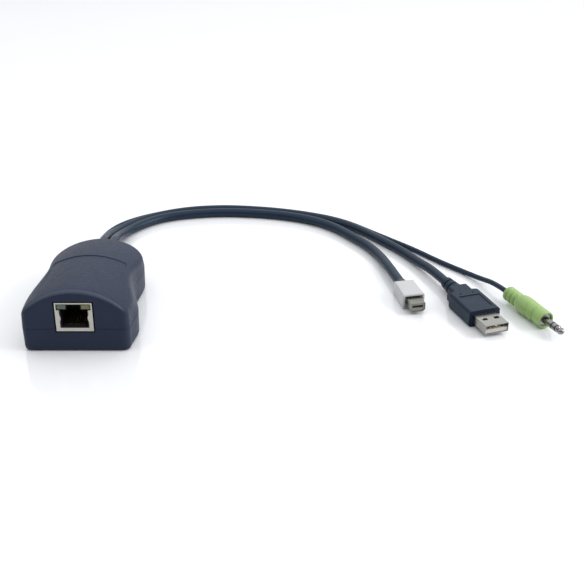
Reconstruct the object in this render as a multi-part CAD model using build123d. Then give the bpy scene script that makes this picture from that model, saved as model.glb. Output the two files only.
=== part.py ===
from build123d import *
from math import sqrt
import os

# A keyboard, video and mouse dongle: a two-part moulded housing with a network
# socket in its front face, and three captive cables out of its rear that end in
# a small video plug, a USB plug and an audio plug.
# Millimetres, +Z up, socket toward -Y, cables out toward +Y. The origin lies on
# the surface that the housing stands on, below the middle of its box.
# Distances named along are measured back from the front face of the housing.

# Housing outline at the parting line: half widths, and stations as shares of its length
housing_length = 81.0
front_half_width = 24.0
shoulder_half_width = 25.7
shoulder_share = 0.185
waist_half_width = 20.9
waist_share = 0.494
lobe_half_width = 22.5
lobe_share = 0.716
haunch_half_width = 20.6
haunch_share = 0.883
heel_half_width = 13.6
heel_drop = 2.4
front_corner_radius = 3.2
front_flare = 0.08

# How far each station leans in over the lean height above the parting line
lean_height = 9.6
front_lean = 0.3
shoulder_lean = 2.6
waist_lean = 1.0
lobe_lean = 1.2
haunch_lean = 1.9
heel_lean = 2.2
rear_lean = 1.8

# Heights and walls of the housing
parting_height = 11.4
floor_thickness = 2.0
wall = 2.0
bottom_draft = 0.3
bottom_edge_radius = 1.7
top_edge_radius = 1.8
crown_front_height = 30.5
crown_middle_height = 26.9
crown_rear_height = 19.6
crown_front_bow = 1.206
crown_middle_bow = 1.362
crown_rear_bow = 1.556
recess_depth = 0.4
recess_half_width = 17.3
recess_start = 3.4
recess_end_share = 0.556
recess_corner_radius = 1.2
lip_height = 1.3
lip_thickness = 0.9
lip_root = 2.0
lip_clearance = 0.12

# Circuit board and the screws that clamp it between the two halves
board_share = 0.2852
board_thickness = 1.6
board_inset = 3.5
board_end_gap = 15.0
front_boss_x = 17.2
front_boss_along = 11.5
rear_boss_x = 16.0
rear_boss_share = 0.698
lower_boss_radius = 3.2
upper_boss_radius = 2.9
screw_shank_radius = 1.2
screw_head_radius = 2.3
screw_head_height = 1.7
screw_head_depth = 3.0
screw_reach = 7.0
screw_clearance = 0.25
screw_slot_width = 0.6
screw_slot_depth = 0.8

# Network socket
socket_width = 16.6
socket_height = 14.0
socket_depth = 21.0
socket_setback = 0.2
socket_gap = 0.3
shield_thickness = 0.3
frame_side = 1.9
frame_bottom = 1.7
frame_top = 0.7
light_width = 3.9
light_height = 2.2
light_depth = 17.0
plug_cavity_width = 12.0
plug_cavity_height = 8.6
plug_cavity_depth = 14.0
latch_slot_width = 6.2
latch_slot_height = 2.3
spring_bulge = 0.45
spring_radius = 3.0
spring_height = 6.4
peg_radius = 1.6
peg_spacing = 11.4
peg_along = 12.7
peg_length = 2.3
peg_clearance = 0.1
contact_count = 8
contact_pitch = 1.02
contact_width = 0.5
contact_thickness = 0.3
contact_front = 2.6
contact_foot = 1.6
contact_run = 6.6
contact_rise = 3.2

# Cable gland in the rear wall
gland_projection = 1.8
gland_width = 14.0
gland_height = 11.6
gland_corner_radius = 3.0
gland_flange = 1.6
gland_flange_thickness = 3.4
gland_neck_inside = 5.0
gland_seat_wall = 1.8
gland_clearance = 0.1
bore_clearance = 0.1

# Cables
video_cable_diameter = 5.0
usb_cable_diameter = 4.6
audio_cable_diameter = 2.6
arc_share = 0.45

# Video plug, along its own axis from its front face back to the cable. Each plug's
# front lies at a place across and a distance behind the gland.
video_plug_front = (154.2, -41.2)
video_plug_heading = 12.5
video_body_length = 16.0
video_body_front_width = 10.8
video_body_rear_width = 9.9
video_body_height = 7.8
video_body_edge = 0.9
video_pocket_width = 8.8
video_pocket_height = 5.9
video_pocket_depth = 3.0
video_collar_setback = 0.8
video_collar_thickness = 2.2
video_shell_width = 7.4
video_shell_height = 4.5
video_shell_reach = 6.5
video_shell_corner = 1.1
video_shell_edge = 0.4
video_shell_thickness = 0.3
video_slot_width = 5.4
video_slot_height = 1.3
video_slot_depth = 5.0
video_slot_raise = 0.35
video_contact_count = 10
video_contact_pitch = 0.5
video_contact_width = 0.24
video_contact_thickness = 0.12
video_boot_length = 4.6
video_boot_rear_radius = 2.8
video_boot_front_radius = 3.2
video_boot_socket = 1.5

# USB plug, along its own axis from its front face back to the cable
usb_plug_front = (185.5, -57.5)
usb_plug_heading = 19.3
usb_body_width = 16.0
usb_body_height = 8.1
usb_body_length = 20.2
usb_neck_width = 10.6
usb_neck_end = 27.5
usb_shoulder = 2.2
usb_body_edge = 1.5
usb_relief_end = 38.5
usb_relief_front_radius = 3.9
usb_relief_rear_radius = 3.1
usb_relief_rings = 3
usb_relief_groove = 0.7
usb_relief_gap = 1.1
usb_panel_width = 11.0
usb_panel_length = 12.8
usb_panel_start = 3.0
usb_panel_depth = 0.35
usb_dimple_radius = 0.5
usb_dimple_along = 18.0
usb_dimple_x = 3.2
usb_shell_width = 12.0
usb_shell_height = 4.5
usb_shell_reach = 11.9
usb_shell_inside = 6.0
usb_shell_thickness = 0.3
usb_shell_corner = 0.5
usb_window_width = 2.5
usb_window_length = 2.0
usb_window_x = 3.0
usb_window_reach = 6.6
usb_tongue_height = 1.9
usb_tongue_setback = 0.4
usb_contact_spots = (-3.5, -1.0, 1.0, 3.5)
usb_contact_width = 1.0
usb_contact_length = 7.4
usb_contact_thickness = 0.15

# Audio plug, along its own axis from the front of its grip back to the cable
audio_plug_front = (212.65, -60.18)
audio_plug_heading = 23.2
audio_grip_length = 31.0
audio_grip_radius = 4.6
audio_rear_radius = 3.4
audio_ring_count = 3
audio_ring_pitch = 2.3
audio_ring_groove = 0.5
audio_grip_shape = (
    (0, 3.1), (0, 3.9), (0.3, 4.2), (4.0, 4.2), (4.2, 3.9), (4.8, 3.9), (5.0, 4.2),
    (9.0, 4.4), (9.2, 4.2), (9.8, 4.2), (10.0, 4.4), (14.0, 4.6), (18.0, 4.6),
    (21.5, 4.2),
)
audio_pin_radius = 1.75
audio_pin_length = 14.0
audio_flange_radius = 3.1
audio_flange_length = 0.8
audio_band = 0.9
audio_ring_length = 2.0
audio_tip_length = 4.0
audio_core_radius = 0.6
audio_core_clearance = 0.05
audio_tip_neck_radius = 1.1

# Parts on the circuit board: place across, place along, width, length and height, the
# along values as shares of the room between the socket and the end of the board
transformer_place = (0.0, 0.196)
transformer_size = (16.0, 0.214, 5.8)
processor_place = (5.6, 0.554)
processor_size = (14.0, 0.312, 1.4)
receiver_place = (-9.6, 0.52)
receiver_size = (9.0, 0.201, 1.0)
controller_place = (-5.8, 0.723)
controller_size = (5.0, 0.112, 0.9)
crystal_place = (-13.2, 0.272)
crystal_size = (4.7, 0.201, 3.4)
inductor_place = (13.4, 0.277)
inductor_size = (6.6, 0.147, 3.2)
capacitor_place = (13.2, 0.094)
capacitor_share = 0.056
capacitor_height = 5.4
video_header_place = (6.6, 0.906)
video_header_size = (9.4, 0.103, 5.6)
usb_header_place = (-3.1, 0.906)
usb_header_size = (7.6, 0.103, 5.6)
audio_header_place = (-10.3, 0.906)
audio_header_size = (5.4, 0.103, 5.6)
header_wall = 0.8
header_depth = 3.6
lead_width = 0.3
lead_length = 1.0
lead_pitch = 1.27

# Cable routes: across, distance behind the gland and height, to near the plug
video_route = [
    (2.9, -10.8, 12.6), (2.9, 9.6, 12.6), (1.4, 28.7, 6.8), (3.4, 45.5, 2.7),
    (11.6, 58.0, 2.5), (23.4, 67.5, 2.5), (39.0, 74.1, 2.5), (56.6, 76.1, 2.5),
    (74.8, 73.6, 2.5), (92.2, 69.4, 2.5), (107.2, 63.1, 2.5), (118.4, 52.6, 2.5),
    (129.8, 41.4, 2.5), (138.6, 27.8, 2.5), (142.9, 11.8, 2.7),
]
usb_route = [
    (-2.7, -10.8, 12.6), (-2.7, 9.4, 12.6), (-3.9, 28.8, 7.2), (-1.8, 47.4, 2.5),
    (7.5, 61.7, 2.3), (20.6, 72.2, 2.3), (37.6, 79.3, 2.3), (56.7, 81.5, 2.3),
    (75.9, 79.0, 2.3), (93.9, 74.6, 2.3), (109.7, 68.4, 2.3), (121.8, 59.8, 2.3),
    (132.8, 49.4, 2.3), (143.3, 37.0, 2.3), (152.6, 22.0, 2.3), (160.9, 8.4, 2.5),
]
audio_route = [
    (0.1, -10.8, 8.4), (0.1, 8.4, 8.4), (-6.2, 25.0, 4.0), (-8.4, 41.8, 1.5),
    (-3.2, 57.4, 1.3), (7.4, 69.0, 1.3), (21.6, 77.8, 1.3), (38.6, 83.8, 1.3),
    (57.2, 85.5, 1.3), (76.6, 83.0, 1.3), (95.2, 78.4, 1.3), (112.2, 71.8, 1.3),
    (126.2, 61.8, 1.3), (138.2, 48.8, 1.3), (149.6, 37.6, 1.3), (161.4, 25.4, 1.3),
    (173.0, 10.0, 1.3), (183.0, -1.2, 1.3),
    (190.8, -11.8, 2.1),
]
video_last_run = 16.6
usb_last_run = 15.0
audio_last_run = 9.5

# Everything below is worked out from the values above
front_y = -(housing_length + gland_projection) / 2
shoulder_along = shoulder_share * housing_length
waist_along = waist_share * housing_length
lobe_along = lobe_share * housing_length
haunch_along = haunch_share * housing_length
recess_end = recess_end_share * housing_length
crown_front_radius = crown_front_bow * shoulder_half_width
crown_middle_radius = crown_middle_bow * shoulder_half_width
crown_rear_radius = crown_rear_bow * shoulder_half_width
board_height = board_share * crown_front_height
board_top = board_height + board_thickness
board_end = housing_length - board_end_gap
socket_end = socket_setback + socket_depth
board_room = board_end - socket_end
rear_boss_along = rear_boss_share * housing_length
side_lean = (front_lean, shoulder_lean, waist_lean, lobe_lean, haunch_lean)
side_width = (
    front_half_width, shoulder_half_width, waist_half_width, lobe_half_width,
    haunch_half_width,
)
boss_places = [
    (front_boss_x, front_boss_along), (-front_boss_x, front_boss_along),
    (rear_boss_x, rear_boss_along), (-rear_boss_x, rear_boss_along),
]
gland_end = housing_length + gland_projection
gland_neck_start = housing_length - gland_neck_inside
gland_flange_start = gland_neck_start - gland_flange_thickness
audio_plug_height = audio_grip_radius
video_plug_height = video_body_height / 2
usb_plug_height = usb_body_height / 2


def block(width, length, height, across=0.0, along=0.0, base=0.0):
    """A box standing on base, centred across and starting at along."""
    box = Box(width, length, height, align=(Align.CENTER, Align.MIN, Align.MIN))
    return Pos(across, along, base) * box


def post(radius, height, across=0.0, along=0.0, base=0.0):
    """An upright cylinder standing on base."""
    rod = Cylinder(radius, height, align=(Align.CENTER, Align.CENTER, Align.MIN))
    return Pos(across, along, base) * rod


def turned(profile, height):
    """Revolve (along, radius) points about a level axis at the given height."""
    face = make_face(Polyline([(radius, along) for along, radius in profile], close=True))
    return Pos(0, 0, height) * revolve(face, Axis.Y)


def plan_outline(rise, inset=0.0, height=0.0):
    """Closed outline of the walls, rise above the parting line and inset inside."""
    share = rise / lean_height
    widths = [w - lean * share - inset for w, lean in zip(side_width, side_lean)]
    corner = max(front_corner_radius - inset, wall / 4)
    stations = (
        inset + corner, shoulder_along, waist_along, lobe_along, haunch_along,
    )
    rear = housing_length - rear_lean * share - inset
    half = widths[0]
    bend = corner * (1 - sqrt(0.5))
    edges = [Line((-half + corner, inset, height), (half - corner, inset, height))]
    for sign in (1, -1):
        points = [(sign * w, along, height) for w, along in zip(widths, stations)]
        heel = heel_half_width - heel_lean * share - inset
        points += [(sign * heel, rear - heel_drop, height), (0, rear, height)]
        edges.append(Spline(*points, tangents=((sign * front_flare, 1), (-sign, 0))))
        edges.append(ThreePointArc(
            (sign * (half - corner), inset, height),
            (sign * (half - bend), inset + bend, height),
            (sign * half, inset + corner, height),
        ))
    return Face(Wire(edges))


def upper_block(inset=0.0):
    """Inside of the walls from the parting line to above the crown."""
    reach = crown_front_height + wall - parting_height
    sections = [
        plan_outline(0, inset, parting_height),
        plan_outline(reach, inset, parting_height + reach),
    ]
    return loft(sections, ruled=True)


def lower_block(inset=0.0, base=0.0):
    """Inside of the walls from base to the parting line, with the bottom draft."""
    draft = bottom_draft * (1 - base / parting_height)
    sections = [
        plan_outline(0, inset + draft, base),
        plan_outline(0, inset, parting_height),
    ]
    return loft(sections, ruled=True)


def crown_block(drop=0.0):
    """Everything below the arched top, lowered by drop."""
    half = shoulder_half_width + wall
    stations = (
        (-wall, crown_front_height, crown_front_radius),
        (recess_end, crown_middle_height, crown_middle_radius),
        (housing_length + wall, crown_rear_height, crown_rear_radius),
    )
    sections = []
    for along, crown, radius in stations:
        top = crown - drop
        edge = top - radius + sqrt(radius**2 - half**2)
        arch = ThreePointArc((-half, along, edge), (0, along, top), (half, along, edge))
        base = Polyline(
            (half, along, edge), (half, along, -wall), (-half, along, -wall),
            (-half, along, edge),
        )
        sections.append(Face(Wire([arch, *base.edges()])))
    return loft(sections)


def slab(base, top):
    """A level slice of space that covers the housing."""
    reach = housing_length + gland_projection
    return block(2 * reach, 2 * reach, top - base, 0, -reach / 2, base)


def gland_shape(gap=0.0):
    """The gland's neck and its inner flange, grown by gap."""
    neck_length = gland_end - gland_neck_start
    neck = Pos(0, gland_neck_start, parting_height) * Rot(-90, 0, 0) * extrude(
        RectangleRounded(
            gland_width + 2 * gap, gland_height + 2 * gap, gland_corner_radius + gap
        ),
        neck_length,
    )
    flange = Pos(0, gland_flange_start - gap, parting_height) * Rot(-90, 0, 0) * extrude(
        RectangleRounded(
            gland_width + 2 * gland_flange + 2 * gap,
            gland_height + 2 * gland_flange + 2 * gap,
            gland_corner_radius + gland_flange,
        ),
        gland_flange_thickness + 2 * gap,
    )
    return neck + flange


def gland_seat():
    """The rib box that holds the gland's flange, before it is cut out."""
    start = gland_flange_start - gland_seat_wall
    width = gland_width + 2 * (gland_flange + gland_seat_wall)
    height = gland_height + 2 * (gland_flange + gland_seat_wall)
    return block(
        width, housing_length - start, height, 0, start, parting_height - height / 2
    )


def gland_passage():
    """The way through the seat that the cables take inside the housing."""
    start = gland_flange_start - 2 * gland_seat_wall
    return block(
        gland_width, 3 * gland_seat_wall, gland_height, 0, start,
        parting_height - gland_height / 2,
    )


def socket_hole():
    """The hole in the front wall around the network socket."""
    return block(
        socket_width + 2 * socket_gap, 3 * wall, socket_height + 2 * socket_gap,
        0, -wall, board_top - socket_gap,
    )


def label_recess():
    """The shallow field on the top that a label would fill."""
    length = recess_end - recess_start
    field = Pos(0, recess_start + length / 2, parting_height) * extrude(
        RectangleRounded(2 * recess_half_width, length, recess_corner_radius),
        crown_front_height,
    )
    return field - crown_block(recess_depth)


def upper_housing():
    """The arched top half, hollow, with its screw bosses."""
    solid = upper_block() & crown_block()
    ridge = solid.edges().filter_by(
        lambda edge: min(end.Z for end in edge.vertices()) > parting_height + wall
    )
    solid = fillet(ridge, top_edge_radius)
    hollow = upper_block(wall) & crown_block(wall)
    shell = solid - hollow
    for across, along in boss_places:
        boss = post(upper_boss_radius, crown_front_height, across, along, board_top)
        floor = slab(board_top, parting_height)
        shell += boss & (hollow + (boss & floor))
        pilot = screw_shank_radius + screw_clearance / 5
        shell -= post(pilot, screw_reach + screw_clearance, across, along, board_top)
    shell += gland_seat() & hollow
    shell -= gland_shape(gland_clearance)
    shell -= gland_passage()
    shell -= socket_hole()
    return shell - label_recess()


def lower_housing():
    """The bottom tray with its lip, screw bosses and gland seat."""
    solid = lower_block()
    base = solid.edges().filter_by(lambda edge: edge.center().Z < wall / 4)
    solid = fillet(base, bottom_edge_radius)
    hollow = lower_block(wall, floor_thickness)
    tray = solid - hollow
    root = lower_block(wall - lip_clearance) - lower_block(wall + lip_thickness)
    tray += root & slab(parting_height - lip_root, parting_height)
    lip = upper_block(wall + lip_clearance) - upper_block(wall + lip_thickness)
    tray += lip & slab(parting_height, parting_height + lip_height)
    for across, along in boss_places:
        boss = post(lower_boss_radius, board_height - floor_thickness, across, along,
                    floor_thickness)
        tray += boss
        tray -= post(screw_shank_radius + screw_clearance, board_height, across, along)
        tray -= post(screw_head_radius + screw_clearance, screw_head_depth, across, along)
    tray += gland_seat() & hollow
    tray -= gland_shape(gland_clearance)
    tray -= gland_seat() & slab(parting_height, crown_front_height)
    tray -= gland_passage()
    return tray - socket_hole()


def case_screws():
    """Four pan-head screws with a cross slot, driven up from below."""
    screws = []
    for across, along in boss_places:
        base = screw_head_depth - screw_head_height
        shank = screw_reach + board_top - screw_head_depth
        screw = post(screw_head_radius, screw_head_height, across, along, base)
        screw += post(screw_shank_radius, shank, across, along, screw_head_depth)
        arm = 1.3 * screw_head_radius
        for width, length in ((arm, screw_slot_width), (screw_slot_width, arm)):
            screw -= block(width, length, screw_slot_depth, across, along - length / 2, base)
        screws.append(screw)
    return screws


def circuit_board():
    """The board, shaped to the housing and drilled for screws and pegs."""
    outline = plan_outline(0, board_inset, board_height)
    board = extrude(outline, board_thickness, dir=(0, 0, 1))
    board &= block(2 * shoulder_half_width, board_end, housing_length)
    for across, along in boss_places:
        board -= post(screw_shank_radius + screw_clearance, housing_length, across, along)
    for across in (-peg_spacing / 2, peg_spacing / 2):
        board -= post(
            peg_radius + peg_clearance, housing_length, across, socket_setback + peg_along
        )
    return board


def light_across(side):
    """Place across of a link light, beside the latch slot."""
    return side * (socket_width / 2 - frame_top - light_width / 2 - shield_thickness)


def socket_shield():
    """The folded tin can with its wide front frame and inward springs."""
    front = socket_setback
    can = block(socket_width, socket_depth, socket_height, 0, front, board_top)
    inside = block(
        socket_width - 2 * shield_thickness, socket_depth - 2 * shield_thickness,
        socket_height - shield_thickness, 0, front + shield_thickness, board_top,
    )
    light_zone = light_height + frame_top
    opening = block(
        socket_width - 2 * frame_side, 4 * shield_thickness,
        socket_height - frame_bottom - frame_top, 0, front - shield_thickness,
        board_top + frame_bottom,
    )
    opening += block(
        socket_width - 2 * frame_top, 4 * shield_thickness, light_height + frame_top, 0,
        front - shield_thickness, board_top + socket_height - light_zone - frame_top,
    )
    for side in (-1, 1):
        centre = side * (socket_width / 2 - frame_side + spring_radius - spring_bulge)
        spring = Pos(centre, front, board_top + spring_height) * Rot(90, 0, 0) * Cylinder(
            spring_radius, 6 * shield_thickness
        )
        opening -= spring
    return can - inside - opening


def socket_insert():
    """The moulded insert with its plug cavity, latch slot and light bays."""
    front = socket_setback + shield_thickness
    body = block(
        socket_width - 2 * shield_thickness, socket_depth - 2 * shield_thickness,
        socket_height - shield_thickness, 0, front, board_top,
    )
    cavity_base = board_top + frame_bottom + shield_thickness
    body -= block(
        plug_cavity_width, plug_cavity_depth + wall, plug_cavity_height, 0, front - wall,
        cavity_base,
    )
    body -= block(
        latch_slot_width, plug_cavity_depth + wall, latch_slot_height, 0, front - wall,
        cavity_base + plug_cavity_height,
    )
    for side in (-1, 1):
        body -= block(
            light_width, light_depth + wall, light_height, light_across(side), front - wall,
            board_top + socket_height - frame_top - light_height - shield_thickness,
        )
        body += post(
            peg_radius, peg_length, side * peg_spacing / 2, socket_setback + peg_along,
            board_top - peg_length,
        )
    return body


def link_light(side):
    """A clear light pipe in its bay, from the socket's face to its rear."""
    gap = peg_clearance / 2
    return block(
        light_width - 2 * gap, light_depth, light_height - gap, light_across(side),
        socket_setback + shield_thickness,
        board_top + socket_height - frame_top - light_height - shield_thickness,
    )


def socket_contacts():
    """Eight spring contacts that slope up from the floor of the cavity."""
    base = board_top + frame_bottom + shield_thickness
    start = socket_setback + contact_front
    foot = start + contact_foot
    profile = [
        (start, base), (foot, base), (foot + contact_run, base + contact_rise),
        (foot + contact_run, base + contact_rise + contact_thickness),
        (foot, base + contact_thickness), (start, base + contact_thickness),
    ]
    face = make_face(Polyline([(0, along, height) for along, height in profile], close=True))
    contacts = []
    for index in range(contact_count):
        across = (index - (contact_count - 1) / 2) * contact_pitch - contact_width / 2
        contacts.append(Pos(across, 0, 0) * extrude(face, contact_width, dir=(1, 0, 0)))
    return contacts


def board_spot(place):
    """Place across and along of a part on the board."""
    across, share = place
    return across, socket_end + share * board_room


def board_block(across, along, width, length, height):
    """A block on the board, with its middle at the place given."""
    return block(width, length, height, across, along - length / 2, board_top)


def board_part(place, size):
    """A plain block on the board."""
    width, share, height = size
    return board_block(*board_spot(place), width, share * board_room, height)


def leaded_chip(place, size):
    """A moulded chip with a row of leads along each side."""
    across, along = board_spot(place)
    width, share, _ = size
    length = share * board_room
    chip = board_part(place, size)
    count = int((length - lead_pitch) / lead_pitch)
    for index in range(count):
        spot = along + (index - (count - 1) / 2) * lead_pitch
        chip += board_block(across, spot, width + 2 * lead_length, lead_width, lead_width)
    return chip


def capacitors():
    """Two round capacitors behind the socket."""
    across, along = board_spot(capacitor_place)
    radius = capacitor_share * board_room
    return [
        post(radius, capacitor_height, side * across, along, board_top)
        for side in (-1, 1)
    ]


def header(place, size):
    """An open-topped wire header."""
    across, along = board_spot(place)
    width, share, height = size
    length = share * board_room
    shell = board_part(place, size)
    pocket = block(
        width - 2 * header_wall, length - 2 * header_wall, header_depth, across,
        along - length / 2 + header_wall, board_top + height - header_depth,
    )
    return shell - pocket


def cable_gland():
    """The rubber strain relief in the rear wall, with a bore for each cable."""
    gland = gland_shape()
    cables = (
        (video_route, video_cable_diameter), (usb_route, usb_cable_diameter),
        (audio_route, audio_cable_diameter),
    )
    for route, diameter in cables:
        across, _, height = route[0]
        bore = Cylinder(
            diameter / 2 + bore_clearance, housing_length,
            align=(Align.CENTER, Align.CENTER, Align.MIN),
        )
        gland -= Pos(across, gland_flange_start - wall, height) * Rot(-90, 0, 0) * bore
    return gland


def plug_frame(front, heading):
    """Where a plug lies: its local +Y runs back from its front face to the cable."""
    across, behind = front
    return Pos(across, gland_end + behind, 0) * Rot(0, 0, heading)


def plug_rear(front, heading, length, height):
    """The point of a plug's axis a given length behind its front face."""
    spot = plug_frame(front, heading) * Pos(0, length, height)
    return (spot.position.X, spot.position.Y, spot.position.Z)


def tapered_bar(front_width, rear_width, length, height, edge):
    """A bar lying on the floor that narrows toward its rear, with soft edges."""
    plan = make_face(Polyline(
        (-front_width / 2, 0), (front_width / 2, 0), (rear_width / 2, length),
        (-rear_width / 2, length), close=True,
    ))
    bar = extrude(plan, height)
    return fillet(bar.edges().filter_by(lambda line: line.length > height), edge)


def video_plug_body():
    """The white grip of the video plug, with the pocket around its shell."""
    body = tapered_bar(
        video_body_front_width, video_body_rear_width, video_body_length,
        video_body_height, video_body_edge,
    )
    pocket = block(
        video_pocket_width, video_pocket_depth + wall, video_pocket_height, 0, -wall,
        video_plug_height - video_pocket_height / 2,
    )
    sink = video_boot_socket + bore_clearance
    boot = turned(
        [(video_body_length - sink, 0), (video_body_length + wall, 0),
         (video_body_length + wall, video_boot_front_radius + bore_clearance),
         (video_body_length - sink, video_boot_front_radius + bore_clearance)],
        video_plug_height,
    )
    return body - pocket - boot


def video_shell_section(shrink=0.0):
    """The shell's section: square above, with both lower corners cut off."""
    half = video_shell_width / 2 - shrink
    low = -video_shell_height / 2 + shrink
    high = video_shell_height / 2 - shrink
    cut = video_shell_corner - shrink / 2
    face = make_face(Polyline(
        (-half, high), (-half, low + cut), (-half + cut, low), (half - cut, low),
        (half, low + cut), (half, high), close=True,
    ))
    upper = face.vertices().sort_by(Axis.Y)[-2:]
    return fillet(upper, max(video_shell_edge - shrink, video_shell_edge / 4))


def lengthwise(section, start, length, height):
    """Extrude an upright section back from start, its middle at height."""
    return Pos(0, start, height) * Rot(90, 0, 0) * extrude(section, -length)


def video_plug_shell():
    """The folded metal shell of the video plug."""
    length = video_shell_reach + video_pocket_depth
    outer = lengthwise(video_shell_section(), -video_shell_reach, length, video_plug_height)
    inner = lengthwise(
        video_shell_section(video_shell_thickness), -video_shell_reach - wall,
        length + 2 * wall, video_plug_height,
    )
    return outer - inner


def video_plug_collar():
    """The dark collar that fills the pocket around the shell."""
    collar = block(
        video_pocket_width - 2 * peg_clearance, video_collar_thickness,
        video_pocket_height - 2 * peg_clearance, 0, video_collar_setback,
        video_plug_height - video_pocket_height / 2 + peg_clearance,
    )
    return collar - lengthwise(
        video_shell_section(-peg_clearance / 2), -wall, video_pocket_depth + 2 * wall,
        video_plug_height,
    )


def video_plug_insulator():
    """The moulded core of the video plug, with its slot."""
    setback = video_shell_thickness
    core = lengthwise(
        video_shell_section(video_shell_thickness), setback - video_shell_reach,
        video_shell_reach + video_pocket_depth - setback, video_plug_height,
    )
    return core - block(
        video_slot_width, video_slot_depth + wall, video_slot_height, 0,
        setback - video_shell_reach - wall,
        video_plug_height + video_slot_raise - video_slot_height / 2,
    )


def video_plug_contacts():
    """Two rows of contacts on the floor and roof of the slot."""
    floor = video_plug_height + video_slot_raise - video_slot_height / 2
    roof = floor + video_slot_height - video_contact_thickness
    start = 2 * video_shell_thickness - video_shell_reach
    length = video_slot_depth - 2 * video_shell_thickness
    contacts = []
    for index in range(video_contact_count):
        across = (index - (video_contact_count - 1) / 2) * video_contact_pitch
        for base in (floor, roof):
            contacts.append(block(
                video_contact_width, length, video_contact_thickness, across, start, base
            ))
    return contacts


def video_plug_boot():
    """The short dark boot between the video plug and its cable."""
    front = video_body_length - video_boot_socket
    rear = video_body_length + video_boot_length
    return turned(
        [(front, 0), (rear, 0), (rear, video_boot_rear_radius),
         (video_body_length, video_boot_front_radius), (front, video_boot_front_radius)],
        video_plug_height,
    )


def usb_plug_body():
    """The grip of the USB plug with its shoulders, panel and ringed relief."""
    half = usb_body_width / 2
    neck = usb_neck_width / 2
    shoulder_end = usb_body_length + usb_shoulder
    right = Spline(
        (half, usb_body_length), ((half + neck) / 2, usb_body_length + usb_shoulder / 2),
        (neck, shoulder_end), tangents=((0, 1), (0, 1)),
    )
    left = mirror(right, about=Plane.YZ)
    plan = make_face([
        Line((-half, 0), (half, 0)), Line((half, 0), (half, usb_body_length)), right,
        Line((neck, shoulder_end), (neck, usb_neck_end)),
        Line((neck, usb_neck_end), (-neck, usb_neck_end)),
        Line((-neck, usb_neck_end), (-neck, shoulder_end)), left,
        Line((-half, usb_body_length), (-half, 0)),
    ])
    body = extrude(plan, usb_body_height)
    rim = body.edges().filter_by(
        lambda edge: abs(edge.tangent_at(0.5).Z) < 0.1 and edge.center().Y > 0.1
        and edge.center().Y < usb_neck_end - 0.1
    )
    body = fillet(rim, usb_body_edge)
    body += usb_relief()
    panel = Pos(0, usb_panel_start + usb_panel_length / 2, usb_body_height) * Box(
        usb_panel_width, usb_panel_length, 2 * usb_panel_depth
    )
    body -= panel
    for side in (-1, 1):
        body -= post(
            usb_dimple_radius, wall, side * usb_dimple_x, usb_dimple_along,
            usb_body_height - usb_panel_depth,
        )
    socket = lengthwise(
        RectangleRounded(usb_shell_width, usb_shell_height, usb_shell_corner),
        -wall, usb_shell_inside + wall, usb_plug_height,
    )
    return body - socket


def usb_relief():
    """The tapering rings behind the neck, with grooves between them."""
    span = usb_relief_end - usb_neck_end
    ring = (span - (usb_relief_rings - 1) * usb_relief_gap) / usb_relief_rings
    step = (usb_relief_front_radius - usb_relief_rear_radius) / (2 * usb_relief_rings - 1)
    profile = [(usb_neck_end - wall, 0), (usb_neck_end - wall, usb_relief_front_radius)]
    along = usb_neck_end
    radius = usb_relief_front_radius
    for index in range(usb_relief_rings):
        profile.append((along, radius))
        along += ring
        radius -= step
        profile.append((along, radius))
        if index < usb_relief_rings - 1:
            profile.append((along, radius - usb_relief_groove))
            along += usb_relief_gap
            radius -= step
            profile.append((along, radius - usb_relief_groove))
    profile.append((along, 0))
    return turned(profile, usb_plug_height)


def usb_shell_inside_space(start):
    """The space inside the USB shell, from start back past its rear."""
    section = RectangleRounded(
        usb_shell_width - 2 * usb_shell_thickness,
        usb_shell_height - 2 * usb_shell_thickness,
        usb_shell_corner - usb_shell_thickness,
    )
    return lengthwise(section, start, usb_shell_inside + wall - start, usb_plug_height)


def usb_plug_shell():
    """The folded metal shell of the USB plug with its two pairs of windows."""
    length = usb_shell_reach + usb_shell_inside
    outer = lengthwise(
        RectangleRounded(usb_shell_width, usb_shell_height, usb_shell_corner),
        -usb_shell_reach, length, usb_plug_height,
    )
    shell = outer - usb_shell_inside_space(-usb_shell_reach - wall)
    for side in (-1, 1):
        shell -= block(
            usb_window_width, usb_window_length, 2 * usb_shell_height,
            side * usb_window_x, -usb_window_reach, usb_plug_height - usb_shell_height,
        )
    return shell


def usb_tongue_base():
    """Height of the floor inside the USB shell."""
    return usb_plug_height - usb_shell_height / 2 + usb_shell_thickness


def usb_plug_tongue():
    """The pale tongue that fills the lower half of the shell."""
    start = usb_tongue_setback - usb_shell_reach
    tongue = block(
        usb_shell_width, usb_shell_inside - start, usb_tongue_height, 0, start,
        usb_tongue_base(),
    )
    return tongue & usb_shell_inside_space(start)


def usb_plug_contacts():
    """Four flat contacts on the tongue."""
    start = 3 * usb_tongue_setback - usb_shell_reach
    return [
        block(
            usb_contact_width, usb_contact_length, usb_contact_thickness, across, start,
            usb_tongue_base() + usb_tongue_height,
        )
        for across in usb_contact_spots
    ]


def audio_plug_body():
    """The green grip: a smooth barrel with rings at its rear."""
    rings_start = audio_grip_length - audio_ring_count * audio_ring_pitch
    profile = [(0, 0), *audio_grip_shape, (rings_start, audio_rear_radius)]
    for index in range(audio_ring_count):
        start = rings_start + index * audio_ring_pitch
        profile += [
            (start + 0.2 * audio_ring_pitch, audio_rear_radius - audio_ring_groove),
            (start + 0.4 * audio_ring_pitch, audio_rear_radius - audio_ring_groove),
            (start + 0.6 * audio_ring_pitch, audio_rear_radius),
            (start + audio_ring_pitch, audio_rear_radius),
        ]
    profile.append((audio_grip_length, 0))
    return turned(profile, audio_plug_height)


def pin_part(start, end, radius=audio_pin_radius):
    """A length of the pin between two distances from the grip's front."""
    return turned([(-start, 0), (-start, radius), (-end, radius), (-end, 0)],
                  audio_plug_height)


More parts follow.
